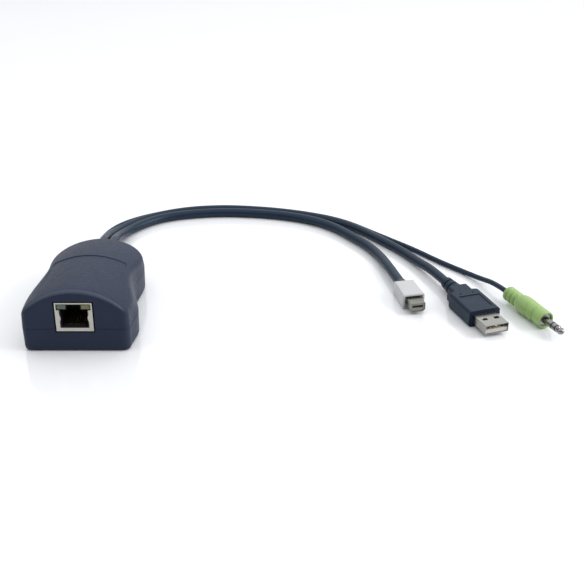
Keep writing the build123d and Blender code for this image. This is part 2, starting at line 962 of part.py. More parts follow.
def core_bore():
    """The bore that the tip's core runs through."""
    return pin_part(-wall, audio_pin_length + 2 * audio_flange_length,
                    audio_core_radius + audio_core_clearance)


def pin_marks():
    """Where each part of the pin ends, from the flange to the tip."""
    tip = audio_flange_length + audio_pin_length
    second_band = tip - audio_tip_length
    ring = second_band - audio_band
    first_band = ring - audio_ring_length
    sleeve = first_band - audio_band
    return sleeve, first_band, ring, second_band, tip


def audio_sleeve():
    """The chrome flange and the sleeve of the pin."""
    sleeve = pin_marks()[0]
    flange = pin_part(0, audio_flange_length, audio_flange_radius)
    return flange + pin_part(audio_flange_length, sleeve) - core_bore()


def audio_insulators():
    """The two black bands between the pin's metal parts."""
    sleeve, first_band, ring, second_band, _ = pin_marks()
    radius = audio_pin_radius - audio_core_clearance
    return [
        pin_part(sleeve, first_band) - core_bore(),
        pin_part(ring, second_band) - core_bore(),
    ]


def audio_ring():
    """The middle contact of the pin."""
    marks = pin_marks()
    return pin_part(marks[1], marks[2]) - core_bore()


def audio_tip():
    """The pin's tip with its neck, and the core behind it."""
    start = pin_marks()[3]
    end = pin_marks()[4]
    neck = start + 0.25 * audio_tip_length
    head = turned(
        [(-start, 0), (-start, audio_pin_radius), (-neck, audio_tip_neck_radius),
         (-start - 0.5 * audio_tip_length, audio_pin_radius),
         (-start - 0.8 * audio_tip_length, 0.75 * audio_pin_radius),
         (-end, 0.3 * audio_pin_radius), (-end, 0)],
        audio_plug_height,
    )
    return head + pin_part(0, start, audio_core_radius)


def cable(name, route, last_run, rear, heading, diameter):
    """A cable as straight runs joined by tangent arcs, up to its plug's rear."""
    end = Vector(*rear)
    lead = Vector(0, last_run, 0).rotate(Axis.Z, heading)
    points = [Vector(across, gland_end + behind, height) for across, behind, height in route]
    points += [end + lead, end]
    runs = [b - a for a, b in zip(points, points[1:])]
    radii = []
    for run, following in zip(runs, runs[1:]):
        half_turn = run.get_angle(following) / 2
        radii.append(arc_share * min(run.length, following.length) / tan_degrees(half_turn))
    path = FilletPolyline(*points, radius=radii)
    section = Plane(origin=points[0], z_dir=runs[0]) * Circle(diameter / 2)
    tube = sweep(section, path)
    ideal = section.area * path.length
    print(f"{name}: length {path.length:.1f}, least radius {min(radii):.1f}, radii",
          " ".join(f"{radius:.0f}" for radius in radii),
          f"volume ratio {tube.volume / ideal:.5f}")
    return tube


def tan_degrees(angle):
    """Tangent of an angle in degrees."""
    ray = Vector(1, 0, 0).rotate(Axis.Z, angle)
    return ray.Y / ray.X


def build():
    """Every node of the dongle, by name, in the housing's own frame."""
    video = plug_frame(video_plug_front, video_plug_heading)
    usb = plug_frame(usb_plug_front, usb_plug_heading)
    audio = plug_frame(audio_plug_front, audio_plug_heading)
    video_rear = plug_rear(
        video_plug_front, video_plug_heading, video_body_length + video_boot_length,
        video_plug_height,
    )
    usb_rear = plug_rear(usb_plug_front, usb_plug_heading, usb_relief_end, usb_plug_height)
    audio_rear = plug_rear(
        audio_plug_front, audio_plug_heading, audio_grip_length, audio_plug_height
    )
    return {
        "upper_housing": upper_housing(),
        "lower_housing": lower_housing(),
        "case_screws": case_screws(),
        "circuit_board": circuit_board(),
        "socket_shield": socket_shield(),
        "socket_insert": socket_insert(),
        "socket_contacts": socket_contacts(),
        "left_link_light": link_light(-1),
        "right_link_light": link_light(1),
        "network_transformer": leaded_chip(transformer_place, transformer_size),
        "main_processor": leaded_chip(processor_place, processor_size),
        "video_receiver": leaded_chip(receiver_place, receiver_size),
        "usb_controller": leaded_chip(controller_place, controller_size),
        "clock_crystal": board_part(crystal_place, crystal_size),
        "power_inductor": board_part(inductor_place, inductor_size),
        "filter_capacitors": capacitors(),
        "video_header": header(video_header_place, video_header_size),
        "usb_header": header(usb_header_place, usb_header_size),
        "audio_header": header(audio_header_place, audio_header_size),
        "cable_gland": cable_gland(),
        "video_cable": cable(
            "video cable", video_route, video_last_run, video_rear, video_plug_heading,
            video_cable_diameter,
        ),
        "usb_cable": cable(
            "USB cable", usb_route, usb_last_run, usb_rear, usb_plug_heading,
            usb_cable_diameter,
        ),
        "audio_cable": cable(
            "audio cable", audio_route, audio_last_run, audio_rear, audio_plug_heading,
            audio_cable_diameter,
        ),
        "video_plug_body": video * video_plug_body(),
        "video_plug_collar": video * video_plug_collar(),
        "video_plug_shell": video * video_plug_shell(),
        "video_plug_insulator": video * video_plug_insulator(),
        "video_plug_contacts": [video * piece for piece in video_plug_contacts()],
        "video_plug_boot": video * video_plug_boot(),
        "usb_plug_body": usb * usb_plug_body(),
        "usb_plug_shell": usb * usb_plug_shell(),
        "usb_plug_tongue": usb * usb_plug_tongue(),
        "usb_plug_contacts": [usb * piece for piece in usb_plug_contacts()],
        "audio_plug_body": audio * audio_plug_body(),
        "audio_plug_sleeve": audio * audio_sleeve(),
        "audio_plug_ring": audio * audio_ring(),
        "audio_plug_tip": audio * audio_tip(),
        "audio_plug_insulators": [audio * piece for piece in audio_insulators()],
    }


os.makedirs("parts", exist_ok=True)
for node, shape in build().items():
    solids = shape if isinstance(shape, list) else shape.solids()
    placed = [Pos(0, front_y, 0) * solid for solid in solids]
    export_step(placed[0] if len(placed) == 1 else Compound(placed), f"parts/{node}.step")
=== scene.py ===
"""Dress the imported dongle: its pod, its network socket, its three cables and its plugs."""

from __future__ import annotations

import logging
import math
from dataclasses import dataclass, field
from enum import Enum
from typing import Any, Sequence

import bmesh
import bpy
import numpy as np
from mathutils import Matrix, Vector

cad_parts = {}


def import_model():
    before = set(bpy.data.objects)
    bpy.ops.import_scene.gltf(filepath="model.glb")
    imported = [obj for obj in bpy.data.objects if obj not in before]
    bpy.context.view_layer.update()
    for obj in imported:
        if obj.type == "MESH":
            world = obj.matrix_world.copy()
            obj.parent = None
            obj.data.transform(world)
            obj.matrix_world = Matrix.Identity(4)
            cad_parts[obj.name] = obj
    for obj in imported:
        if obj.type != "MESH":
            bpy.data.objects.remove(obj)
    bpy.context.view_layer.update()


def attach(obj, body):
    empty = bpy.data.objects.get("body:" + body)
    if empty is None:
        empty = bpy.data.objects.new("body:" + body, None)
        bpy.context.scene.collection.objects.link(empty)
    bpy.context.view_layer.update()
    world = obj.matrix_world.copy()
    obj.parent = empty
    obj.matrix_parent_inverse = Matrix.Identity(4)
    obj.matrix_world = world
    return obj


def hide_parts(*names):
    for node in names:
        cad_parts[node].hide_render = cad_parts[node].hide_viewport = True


LOG = logging.getLogger("dongle")
MM = 0.001
BODY = "root"
FRONT_Y = -41.4
GLAND_Y = 41.4
UPRIGHT = Matrix.Rotation(math.radians(90), 4, "X")
SHARP = 32.0
SHELL_SHARP = 40.0
GRIP_SHARP = 50.0

Colour = tuple[float, float, float]
Point = tuple[float, float, float]
Profile = Sequence[tuple[float, float]]
Piece = bpy.types.Object
Socket = bpy.types.NodeSocket


class Side(Enum):
    """Left or right as seen from the socket."""

    LEFT = "left"
    RIGHT = "right"


class Relief(Enum):
    """How a surface's fine height pattern is laid."""

    GRAIN = "grain"
    BRUSHED = "brushed"
    SMOOTH = "smooth"


# Node trees


class NodeTree:
    """A node tree under construction, with short ways to add and join its nodes."""

    def __init__(self, tree: bpy.types.NodeTree) -> None:
        """Keep the tree that the nodes go into."""
        self.tree = tree

    def node(self, kind: str, inputs: dict[str | int, Any] | None = None,
             **settings: Any) -> bpy.types.Node:
        """Add a node and set its properties and inputs.

        Args:
            kind: Blender's name for the node type.
            inputs: Values of its input sockets, by name or number.
            settings: Properties of the node.

        Returns:
            The new node.
        """
        made = self.tree.nodes.new(kind)
        for key, value in settings.items():
            setattr(made, key, value)
        for key, value in (inputs or {}).items():
            made.inputs[key].default_value = value
        return made

    def link(self, start: Socket, end: Socket) -> None:
        """Join two sockets."""
        self.tree.links.new(start, end)


# Materials


class Recipe(NodeTree):
    """A material under construction, with short ways to lay its patterns."""

    def __init__(self, name: str) -> None:
        """Start an empty material with one Principled shader.

        Args:
            name: Name of the material.
        """
        self.material = bpy.data.materials.new(name)
        self.material.use_nodes = True
        super().__init__(self.material.node_tree)
        self.tree.nodes.clear()
        output = self.node("ShaderNodeOutputMaterial")
        self.shader = self.node("ShaderNodeBsdfPrincipled")
        self.link(self.shader.outputs["BSDF"], output.inputs["Surface"])

    def place(self, stretch: Point = (1.0, 1.0, 1.0)) -> Socket:
        """Object coordinates, stretched.

        Args:
            stretch: Scale along each axis.

        Returns:
            The vector socket.
        """
        source = self.node("ShaderNodeTexCoord")
        mapping = self.node("ShaderNodeMapping", {
            "Scale": tuple(1.0 / share for share in stretch)}, vector_type="TEXTURE")
        self.link(source.outputs["Object"], mapping.inputs["Vector"])
        return mapping.outputs["Vector"]

    def noise(self, size: float, detail: float,
              stretch: Point = (1.0, 1.0, 1.0)) -> Socket:
        """A noise pattern.

        Args:
            size: Size of its features in millimetres.
            detail: Octaves.
            stretch: Scale along each axis.

        Returns:
            A socket from 0 to 1.
        """
        made = self.node("ShaderNodeTexNoise", {
            "Scale": 1.0 / (size * MM), "Detail": detail, "Roughness": 0.55})
        self.link(self.place(stretch), made.inputs["Vector"])
        return made.outputs["Fac"]

    def range(self, source: Socket, low: float, high: float,
              start: float = 0.3, end: float = 0.7) -> Socket:
        """Map a pattern to a range of values.

        Args:
            source: The pattern.
            low: Value at start.
            high: Value at end.
            start: Pattern value that gives low.
            end: Pattern value that gives high.

        Returns:
            The mapped socket.
        """
        made = self.node("ShaderNodeMapRange", {
            "From Min": start, "From Max": end, "To Min": low, "To Max": high})
        self.link(source, made.inputs["Value"])
        return made.outputs["Result"]

    def blend(self, share: Socket, first: Colour | Socket,
              second: Colour | Socket) -> Socket:
        """Mix two colours by a pattern.

        Args:
            share: Share of the second colour.
            first: Colour or socket.
            second: Colour or socket.

        Returns:
            The colour socket.
        """
        made = self.node("ShaderNodeMix", data_type="RGBA")
        self.link(share, made.inputs[0])
        for socket, value in ((made.inputs[6], first), (made.inputs[7], second)):
            if isinstance(value, tuple):
                socket.default_value = (*value, 1.0)
            else:
                self.link(value, socket)
        return made.outputs[2]

    def bump(self, height: Socket, depth: float, strength: float,
             below: Socket | None = None) -> Socket:
        """A bump from a height pattern.

        Args:
            height: The pattern.
            depth: Depth in millimetres.
            strength: Share of it that shows.
            below: Normal of an earlier bump.

        Returns:
            The normal socket.
        """
        made = self.node("ShaderNodeBump", {"Distance": depth * MM, "Strength": strength})
        self.link(height, made.inputs["Height"])
        if below is not None:
            self.link(below, made.inputs["Normal"])
        return made.outputs["Normal"]

    def tinge(self, source: Socket, colour: Colour, low: float,
              high: float) -> Socket:
        """A colour that drifts with a pattern between two shares of itself."""
        return self.blend(self.range(source, 0.0, 1.0), shade(colour, low), shade(colour, high))

    def roughen(self, source: Socket, middle: float, low: float,
                high: float) -> None:
        """Let the roughness drift with a pattern between two shares of its middle value."""
        self.feed("Roughness", self.range(source, middle * low, middle * high))

    def set(self, **values: Any) -> None:
        """Set constants on the shader's own sockets, with spaces written as underscores.

        Args:
            values: Values by the names of the sockets.
        """
        for key, value in values.items():
            socket = self.shader.inputs[key.replace("_", " ")]
            socket.default_value = (*value, 1.0) if isinstance(value, tuple) else value

    def feed(self, name: str, source: Socket) -> None:
        """Link a pattern into a socket of the shader."""
        self.link(source, self.shader.inputs[name])


def shade(colour: Colour, share: float) -> Colour:
    """A colour made lighter or darker by a share."""
    return (colour[0] * share, colour[1] * share, colour[2] * share)


@dataclass(frozen=True)
class Coating:
    """What a piece is made of.

    Attributes:
        name: Name of the material.
        slot: Material slot of the record.
        colour: Linear colour.
    """

    name: str
    slot: str
    colour: Colour

    def make(self) -> bpy.types.Material:
        """Build the material.

        Returns:
            The material.
        """
        recipe = Recipe(self.name)
        self.lay(recipe)
        return recipe.material

    def lay(self, recipe: Recipe) -> None:
        """Set the shader's constants and lay its patterns."""
        raise NotImplementedError


@dataclass(frozen=True)
class Finish(Coating):
    """A moulded, turned or plated finish.

    Attributes:
        roughness: Middle roughness.
        metallic: 1 for a metal.
        drift: Share by which the colour drifts over the piece.
        relief: How its height pattern is laid.
        grain: Size of the grain in millimetres.
        depth: Depth of the grain in millimetres.
        specular: Specular level.
        tint: Colour of the reflection.
        rim_highlight: Painted highlight colour, blended in where the points' attribute of that
            name is set.
    """

    roughness: float
    metallic: float = 0.0
    drift: float = 0.06
    relief: Relief = Relief.GRAIN
    grain: float = 0.35
    depth: float = 0.02
    specular: float = 0.5
    tint: Colour = (1.0, 1.0, 1.0)
    rim_highlight: Colour | None = None

    def lay(self, recipe: Recipe) -> None:
        """Lay the drift of the colour, and then the relief.

        Args:
            recipe: The material under construction.
        """
        recipe.set(Metallic=self.metallic, Specular_IOR_Level=self.specular,
                   Specular_Tint=self.tint)
        drift = recipe.noise(9.0, 3.0)
        colour = recipe.tinge(drift, self.colour, 1 - self.drift, 1 + self.drift)
        # Painted highlight: points marked for it take a lighter colour where the front arch
        # faces forward and up.
        if self.rim_highlight is not None:
            highlight_mark = recipe.node("ShaderNodeAttribute", attribute_name="rim_highlight")
            colour = recipe.blend(highlight_mark.outputs["Fac"], colour, self.rim_highlight)
        recipe.feed("Base Color", colour)
        if self.relief is Relief.BRUSHED:
            streaks = recipe.noise(self.grain, 4.0, (1.0, 0.06, 1.0))
            recipe.roughen(streaks, self.roughness, 0.8, 1.25)
            recipe.feed("Normal", recipe.bump(streaks, self.depth, 0.35))
        elif self.relief is Relief.GRAIN:
            fine = recipe.noise(self.grain, 2.0)
            recipe.roughen(recipe.noise(self.grain * 7.0, 2.0), self.roughness, 0.9, 1.1)
            recipe.feed("Normal", recipe.bump(fine, self.depth, 0.5))
        else:
            recipe.roughen(recipe.noise(4.0, 2.0), self.roughness, 0.85, 1.15)


@dataclass(frozen=True)
class Jacket(Coating):
    """The extruded jacket of a cable, with a faint lay of the wires under it.

    Attributes:
        roughness: Middle roughness.
    """

    roughness: float

    def lay(self, recipe: Recipe) -> None:
        """Lay the scuffs, the grain and the lay of the wires.

        Args:
            recipe: The material under construction.
        """
        recipe.set(Specular_IOR_Level=0.28, Specular_Tint=(0.72, 0.90, 1.0))
        scuff = recipe.noise(3.0, 4.0)
        recipe.feed("Base Color", recipe.tinge(scuff, self.colour, 0.9, 1.15))
        recipe.roughen(scuff, self.roughness, 0.85, 1.2)
        soft = recipe.bump(recipe.noise(14.0, 1.0), 0.15, 0.4)
        recipe.feed("Normal", recipe.bump(recipe.noise(0.4, 2.0), 0.012, 0.5, soft))


@dataclass(frozen=True)
class SolderMask(Coating):
    """The green lacquer of the board over its copper tracks.

    Attributes:
        track: Linear colour over a track.
        track_pitch: Distance between tracks in millimetres.
    """

    name: str = "solder_mask"
    slot: str = "board"
    colour: Colour = (0.012, 0.085, 0.040)
    track: Colour = (0.030, 0.160, 0.075)
    track_pitch: float = 2.4

    def lay(self, recipe: Recipe) -> None:
        """Lay the tracks under the lacquer.

        Args:
            recipe: The material under construction.
        """
        recipe.set(Roughness=0.32, Coat_Weight=0.3, Coat_Roughness=0.1)
        cells = recipe.node("ShaderNodeTexVoronoi", {"Scale": 1.0 / (self.track_pitch * MM)},
                            feature="DISTANCE_TO_EDGE")
        recipe.link(recipe.place(), cells.inputs["Vector"])
        tracks = recipe.range(cells.outputs["Distance"], 1.0, 0.0, 0.06, 0.09)
        recipe.feed("Base Color", recipe.blend(tracks, self.colour, self.track))
        recipe.feed("Normal", recipe.bump(tracks, 0.035, 0.5))


@dataclass(frozen=True)
class Lens(Coating):
    """The clear, unlit plastic of a link light."""

    def lay(self, recipe: Recipe) -> None:
        """Lay a faint cloud in the clear plastic."""
        recipe.set(Roughness=0.18, Transmission_Weight=0.25, IOR=1.49, Coat_Weight=0.2)
        recipe.feed("Base Color", recipe.tinge(recipe.noise(1.6, 2.0), self.colour, 0.8, 1.2))


@dataclass(frozen=True)
class PaleFloor(Coating):
    """The white glossy floor that the dongle stands on, which has no slot."""

    name: str = "pale_floor"
    slot: str = ""
    colour: Colour = (0.84, 0.845, 0.855)

    def lay(self, recipe: Recipe) -> None:
        """Lay a faint cloud in the colour and the gloss.

        Args:
            recipe: The material under construction.
        """
        recipe.set(Specular_IOR_Level=0.8)
        cloud = recipe.noise(180.0, 2.0)
        recipe.feed("Base Color", recipe.tinge(cloud, self.colour, 0.995, 1.0))
        recipe.feed("Roughness", recipe.range(cloud, 0.10, 0.13))


@dataclass(frozen=True)
class Palette:
    """Every finish of the dongle."""

    # The housing's last colour is a painted highlight along its front arch.
    housing: Finish = Finish("housing_plastic", "housing", (0.019, 0.026, 0.050), 0.47,
                             grain=0.30, depth=0.014, drift=0.05, specular=0.17,
                             tint=(0.80, 0.88, 1.0), rim_highlight=(0.062, 0.072, 0.105))
    screw: Finish = Finish("screw_steel", "screw_steel", (0.45, 0.45, 0.46), 0.32, 1.0,
                           relief=Relief.BRUSHED, grain=0.15)
    board: SolderMask = SolderMask()
    shield: Finish = Finish("tin_plate", "shield", (0.46, 0.45, 0.40), 0.30, 1.0,
                            relief=Relief.BRUSHED, grain=0.25, depth=0.006)
    socket: Finish = Finish("socket_black", "socket_plastic", (0.010, 0.010, 0.012), 0.45)
    gold: Finish = Finish("contact_gold", "contact_gold", (0.85, 0.62, 0.26), 0.22, 1.0,
                          relief=Relief.BRUSHED, grain=0.12, depth=0.004)
    green_light: Lens = Lens("light_green", "link_light_green", (0.10, 0.135, 0.085))
    amber_light: Lens = Lens("light_amber", "link_light_amber", (0.20, 0.18, 0.055))
    chip: Finish = Finish("chip_epoxy", "chip", (0.016, 0.016, 0.018), 0.55, grain=0.12,
                          depth=0.01)
    can: Finish = Finish("drawn_can", "can", (0.62, 0.62, 0.64), 0.28, 1.0,
                         relief=Relief.BRUSHED, grain=0.2, depth=0.004)
    ferrite: Finish = Finish("ferrite", "ferrite", (0.045, 0.045, 0.050), 0.6, grain=0.2,
                             depth=0.03)
    header: Finish = Finish("header_ivory", "header", (0.66, 0.62, 0.51), 0.42)
    gland: Finish = Finish("gland_rubber", "gland", (0.022, 0.027, 0.036), 0.55)
    cable: Jacket = Jacket("cable_jacket", "cable", (0.009, 0.018, 0.036), 0.38)
    video_grip: Finish = Finish("video_grip", "video_grip", (0.46, 0.46, 0.465), 0.40,
                                grain=0.25, depth=0.008, drift=0.02)
    boot: Finish = Finish("boot_rubber", "boot", (0.030, 0.035, 0.045), 0.5)
    collar: Finish = Finish("collar_grey", "collar", (0.38, 0.38, 0.37), 0.4)
    plug_metal: Finish = Finish("plug_nickel", "plug_steel", (0.34, 0.335, 0.31), 0.26, 1.0,
                                relief=Relief.BRUSHED, grain=0.3, depth=0.004)
    video_metal: Finish = Finish("video_nickel", "plug_steel", (0.24, 0.236, 0.21), 0.28, 1.0,
                                 relief=Relief.BRUSHED, grain=0.3, depth=0.004)
    video_core: Finish = Finish("video_core_grey", "insulator", (0.22, 0.22, 0.20), 0.42)
    insulator: Finish = Finish("insulator_black", "insulator", (0.010, 0.010, 0.011), 0.4)
    usb_grip: Finish = Finish("usb_grip", "usb_grip", (0.011, 0.020, 0.037), 0.42,
                              grain=0.25, depth=0.014, specular=0.18,
                              tint=(0.72, 0.90, 1.0))
    tongue: Finish = Finish("tongue_pale", "tongue", (0.52, 0.51, 0.48), 0.4)
    audio_grip: Finish = Finish("audio_grip", "audio_grip", (0.265, 0.41, 0.13), 0.40,
                                grain=0.3, depth=0.008, drift=0.03)
    chrome: Finish = Finish("pin_chrome", "pin_chrome", (0.26, 0.255, 0.25), 0.18, 1.0,
                            relief=Relief.SMOOTH)


PALETTE = Palette()
_made: dict[str, bpy.types.Material] = {}


def material(look: Coating) -> bpy.types.Material:
    """The material of a finish, made once.

    Args:
        look: The finish.

    Returns:
        Its material.
    """
    if look.name not in _made:
        _made[look.name] = look.make()
    return _made[look.name]


# Meshes


def new_piece(name: str, points: Sequence[Sequence[float]],
              faces: Sequence[Sequence[int]]) -> Piece:
    """A closed mesh object from points in millimetres, its faces turned outwards.

    Args:
        name: Name of the object.
        points: Points in the row frame, in millimetres.
        faces: Faces as indexes of the points.

    Returns:
        The object.
    """
    mesh = bpy.data.meshes.new(name)
    mesh.from_pydata([tuple(float(v) * MM for v in point) for point in points], [], faces)
    shell = bmesh.new()
    shell.from_mesh(mesh)
    bmesh.ops.remove_doubles(shell, verts=shell.verts, dist=1e-7)
    bmesh.ops.recalc_face_normals(shell, faces=shell.faces)
    shell.to_mesh(mesh)
    shell.free()
    piece = bpy.data.objects.new(name, mesh)
    bpy.context.scene.collection.objects.link(piece)
    return piece


def settle(piece: Piece) -> Piece:
    """Turn a piece's live modifiers into a plain mesh.

    Args:
        piece: The object.

    Returns:
        The same object, with no modifiers.
    """
    bpy.context.view_layer.update()
    graph = bpy.context.evaluated_depsgraph_get()
    mesh = bpy.data.meshes.new_from_object(
        piece.evaluated_get(graph), preserve_all_data_layers=True, depsgraph=graph)
    piece.modifiers.clear()
    piece.data = mesh
    return piece


def remove(pieces: Sequence[Piece]) -> None:
    """Delete helper objects."""
    for piece in pieces:
        bpy.data.objects.remove(piece, do_unlink=True)


def shift(piece: Piece, place: Matrix) -> Piece:
    """Move a piece's mesh, and leave its object at the origin.

    Args:
        piece: The object.
        place: Where it goes, in metres.

    Returns:
        The same object.
    """
    piece.data.transform(place)
    piece.data.update()
    return piece


def cut(piece: Piece, tools: Sequence[Piece],
        operation: str = "DIFFERENCE") -> Piece:
    """Cut tools out of a piece, or join them to it, and delete the tools.

    Args:
        piece: The piece.
        tools: Closed meshes.
        operation: DIFFERENCE or UNION.

    Returns:
        The piece.
    """
    for tool in tools:
        step = piece.modifiers.new("cut", "BOOLEAN")
        step.operation = operation
        step.solver = "EXACT"
        step.object = tool
    settle(piece)
    remove(tools)
    return piece


def box(name: str, low: Point, high: Point) -> Piece:
    """A block between two corners, in millimetres, for cutting with.

    Args:
        name: Name of the object.
        low: Its lowest corner.
        high: Its highest corner.

    Returns:
        The object.
    """
    corners = [(x, y, z) for x in (low[0], high[0]) for y in (low[1], high[1])
               for z in (low[2], high[2])]
    faces = [(0, 1, 3, 2), (4, 6, 7, 5), (0, 4, 5, 1), (2, 3, 7, 6), (0, 2, 6, 4), (1, 5, 7, 3)]
    return new_piece(name, corners, faces)


def prism(name: str, section: Profile, start: float, end: float) -> Piece:
    """A section of (across, height) points drawn out along Y from start to end.

    Args:
        name: Name of the object.
        section: The points, once around.
        start: Where it starts along Y.
        end: Where it ends.

    Returns:
        The object.
    """
    count = len(section)
    points = [(x, y, z) for y in (start, end) for x, z in section]
    faces = [tuple(range(count)), tuple(range(count, 2 * count))]
    faces += [(i, (i + 1) % count, count + (i + 1) % count, count + i) for i in range(count)]
    return new_piece(name, points, faces)


def ribbon(name: str, sides: Sequence[Sequence[Point]]) -> Piece:
    """A bent flat wire between the outlines of its two sides.

    Args:
        name: Name of the object.
        sides: Each side's lower line, and then back along its upper line.

    Returns:
        The object.
    """
    count = len(sides[0])
    points = [point for side in sides for point in side]
    faces = [(i, (i + 1) % count, count + (i + 1) % count, count + i) for i in range(count)]
    for base in (0, count):
        faces += [(base + i, base + i + 1, base + count - 2 - i, base + count - 1 - i)
                  for i in range(count // 2 - 1)]
    return new_piece(name, points, faces)


def rounded(width: float, height: float, radius: float, middle: float,
            steps: int = 6) -> list[tuple[float, float]]:
    """The outline of a rounded rectangle.

    Args:
        width: Width in millimetres.
        height: Height in millimetres.
        radius: Corner radius.
        middle: Height of its centre.
        steps: Segments in each corner.

    Returns:
        Points (across, height) in order.
    """
    points = []
    for quarter, (sx, sz) in enumerate(((1, 1), (-1, 1), (-1, -1), (1, -1))):
        for step in range(steps + 1):
            angle = math.radians(90 * (quarter + step / steps))
            points.append((sx * (width / 2 - radius) + radius * math.cos(angle),
                           middle + sz * (height / 2 - radius) + radius * math.sin(angle)))
    return points


def turned(name: str, profile: Profile, height: float, segments: int) -> Piece:
    """A turned piece about a level axis along Y.

    Args:
        name: Name of the object.
        profile: (along, radius) points from one end of the axis to the other.
        height: Height of the axis.
        segments: Faces around.

    Returns:
        The object.
    """
    points: list[Point] = []
    rings: list[list[int]] = []
    for along, radius in profile:
        if radius < 1e-6:
            rings.append([len(points)] * segments)
            points.append((0.0, along, height))
            continue
        rings.append(list(range(len(points), len(points) + segments)))
        for index in range(segments):
            angle = 2 * math.pi * index / segments
            points.append((radius * math.cos(angle), along, height + radius * math.sin(angle)))
    faces = []
    for first, second in zip(rings, rings[1:]):
        for index in range(segments):
            following = (index + 1) % segments
            corners = [first[index], first[following], second[following], second[index]]
            unique = list(dict.fromkeys(corners))
            if len(unique) > 2:
                faces.append(tuple(unique))
    return new_piece(name, points, faces)


def eased(piece: Piece, edge: float, angle: float = 30.0) -> Piece:
    """Bevel a piece's sharp edges with a live modifier.

    Args:
        piece: The object.
        edge: Width of the bevel in millimetres.
        angle: Edges sharper than this many degrees are bevelled.

    Returns:
        The object.
    """
    step = piece.modifiers.new("edge", "BEVEL")
    step.width = edge * MM
    step.segments = 2
    step.limit_method = "ANGLE"
    step.angle_limit = math.radians(angle)
    return piece


def softened(node: str, name: str, edge: float, angle: float = SHARP) -> Piece:
    """A clean copy of a CAD node, with its loose triangles merged and its edges eased.

    Args:
        node: The CAD node.
        name: Name of the new piece.
        edge: Width of the bevel in millimetres.
        angle: Edges sharper than this many degrees are bevelled.

    Returns:
        The object.
    """
    source = bpy.data.objects[node]
    work = bmesh.new()
    work.from_mesh(source.data)
    bmesh.ops.remove_doubles(work, verts=work.verts, dist=2e-7)
    bmesh.ops.dissolve_limit(
        work, angle_limit=math.radians(0.4), verts=work.verts, edges=work.edges,
        use_dissolve_boundaries=False,
    )
    mesh = bpy.data.meshes.new(name)
    work.to_mesh(mesh)
    work.free()
    if "custom_normal" in mesh.attributes:
        mesh.attributes.remove(mesh.attributes["custom_normal"])
    piece = bpy.data.objects.new(name, mesh)
    bpy.context.scene.collection.objects.link(piece)
    return eased(piece, edge, angle)


def smooth(piece: Piece, angle: float = SHARP) -> Piece:
    """Smooth shading with sharp edges kept, and flat faces kept flat.

    Args:
        piece: The object.
        angle: Edges sharper than this many degrees stay sharp.

    Returns:
        The object.
    """
    settle(piece)
    piece.data.shade_smooth()
    piece.data.set_sharp_from_angle(angle=math.radians(angle))
    step = piece.modifiers.new("flat", "WEIGHTED_NORMAL")
    step.keep_sharp = True
    step.weight = 60
    return settle(piece)


def dress(piece: Piece, look: Coating, *nodes: str) -> Piece:
    """Give a finished piece its material and body, and hide the nodes it stands for.

    Args:
        piece: The object.
        look: Its finish.
        nodes: CAD nodes that it replaces.

    Returns:
        The object.
    """
    if piece.type == "MESH":
        piece.data.materials.clear()
    piece.data.materials.append(material(look))
    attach(piece, BODY)
    if nodes:
        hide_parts(*nodes)
    LOG.info("%s: %s", piece.name, ", ".join(nodes) or "added")
    return piece


def remake(node: str, name: str, look: Coating, edge: float,
           angle: float = SHARP) -> Piece:
    """Replace a CAD node by a softened copy with its finish.

    Args:
        node: The CAD node.
        name: Name of the new piece.
        look: Its finish.
        edge: Width of the bevel in millimetres.
        angle: Edges sharper than this many degrees are bevelled.

    Returns:
        The finished object.
    """
    return dress(smooth(softened(node, name, edge, angle)), look, node)


def ease(share: Any) -> Any:
    """A share from 0 to 1 that starts and ends gently."""
    return share * share * (3 - 2 * share)


def spline(points: np.ndarray, start: np.ndarray, end: np.ndarray,
           shares: np.ndarray) -> np.ndarray:
    """Points on a smooth curve through knots, with given end directions.

    Args:
        points: Knots.
        start: Unit direction at the first knot.
        end: Unit direction at the last knot.
        shares: Places along the curve, from 0 to 1.

    Returns:
        One point for each share.
    """
    gaps = np.linalg.norm(np.diff(points, axis=0), axis=1)
    marks = np.concatenate([[0.0], np.cumsum(gaps)])
    count = len(points)
    left = np.zeros((count, count))
    right = np.zeros((count, 2))
    left[0, 0] = left[-1, -1] = 1.0
    right[0], right[-1] = start, end
    for i in range(1, count - 1):
        before, after = gaps[i - 1], gaps[i]
        left[i, i - 1:i + 2] = (after, 2 * (before + after), before)
        right[i] = 3 * (after * (points[i] - points[i - 1]) / before
                        + before * (points[i + 1] - points[i]) / after)
    slopes = np.linalg.solve(left, right)
    wanted = np.clip(shares, 0, 1) * marks[-1]
    spot = np.clip(np.searchsorted(marks, wanted, side="right") - 1, 0, count - 2)
    gap = gaps[spot][:, None]
    t = ((wanted - marks[spot]) / gaps[spot])[:, None]
    return ((1 + 2 * t) * (1 - t) ** 2 * points[spot] + t * (1 - t) ** 2 * gap * slopes[spot]
            + t * t * (3 - 2 * t) * points[spot + 1] - t * t * (1 - t) * gap * slopes[spot + 1])


# Repeats


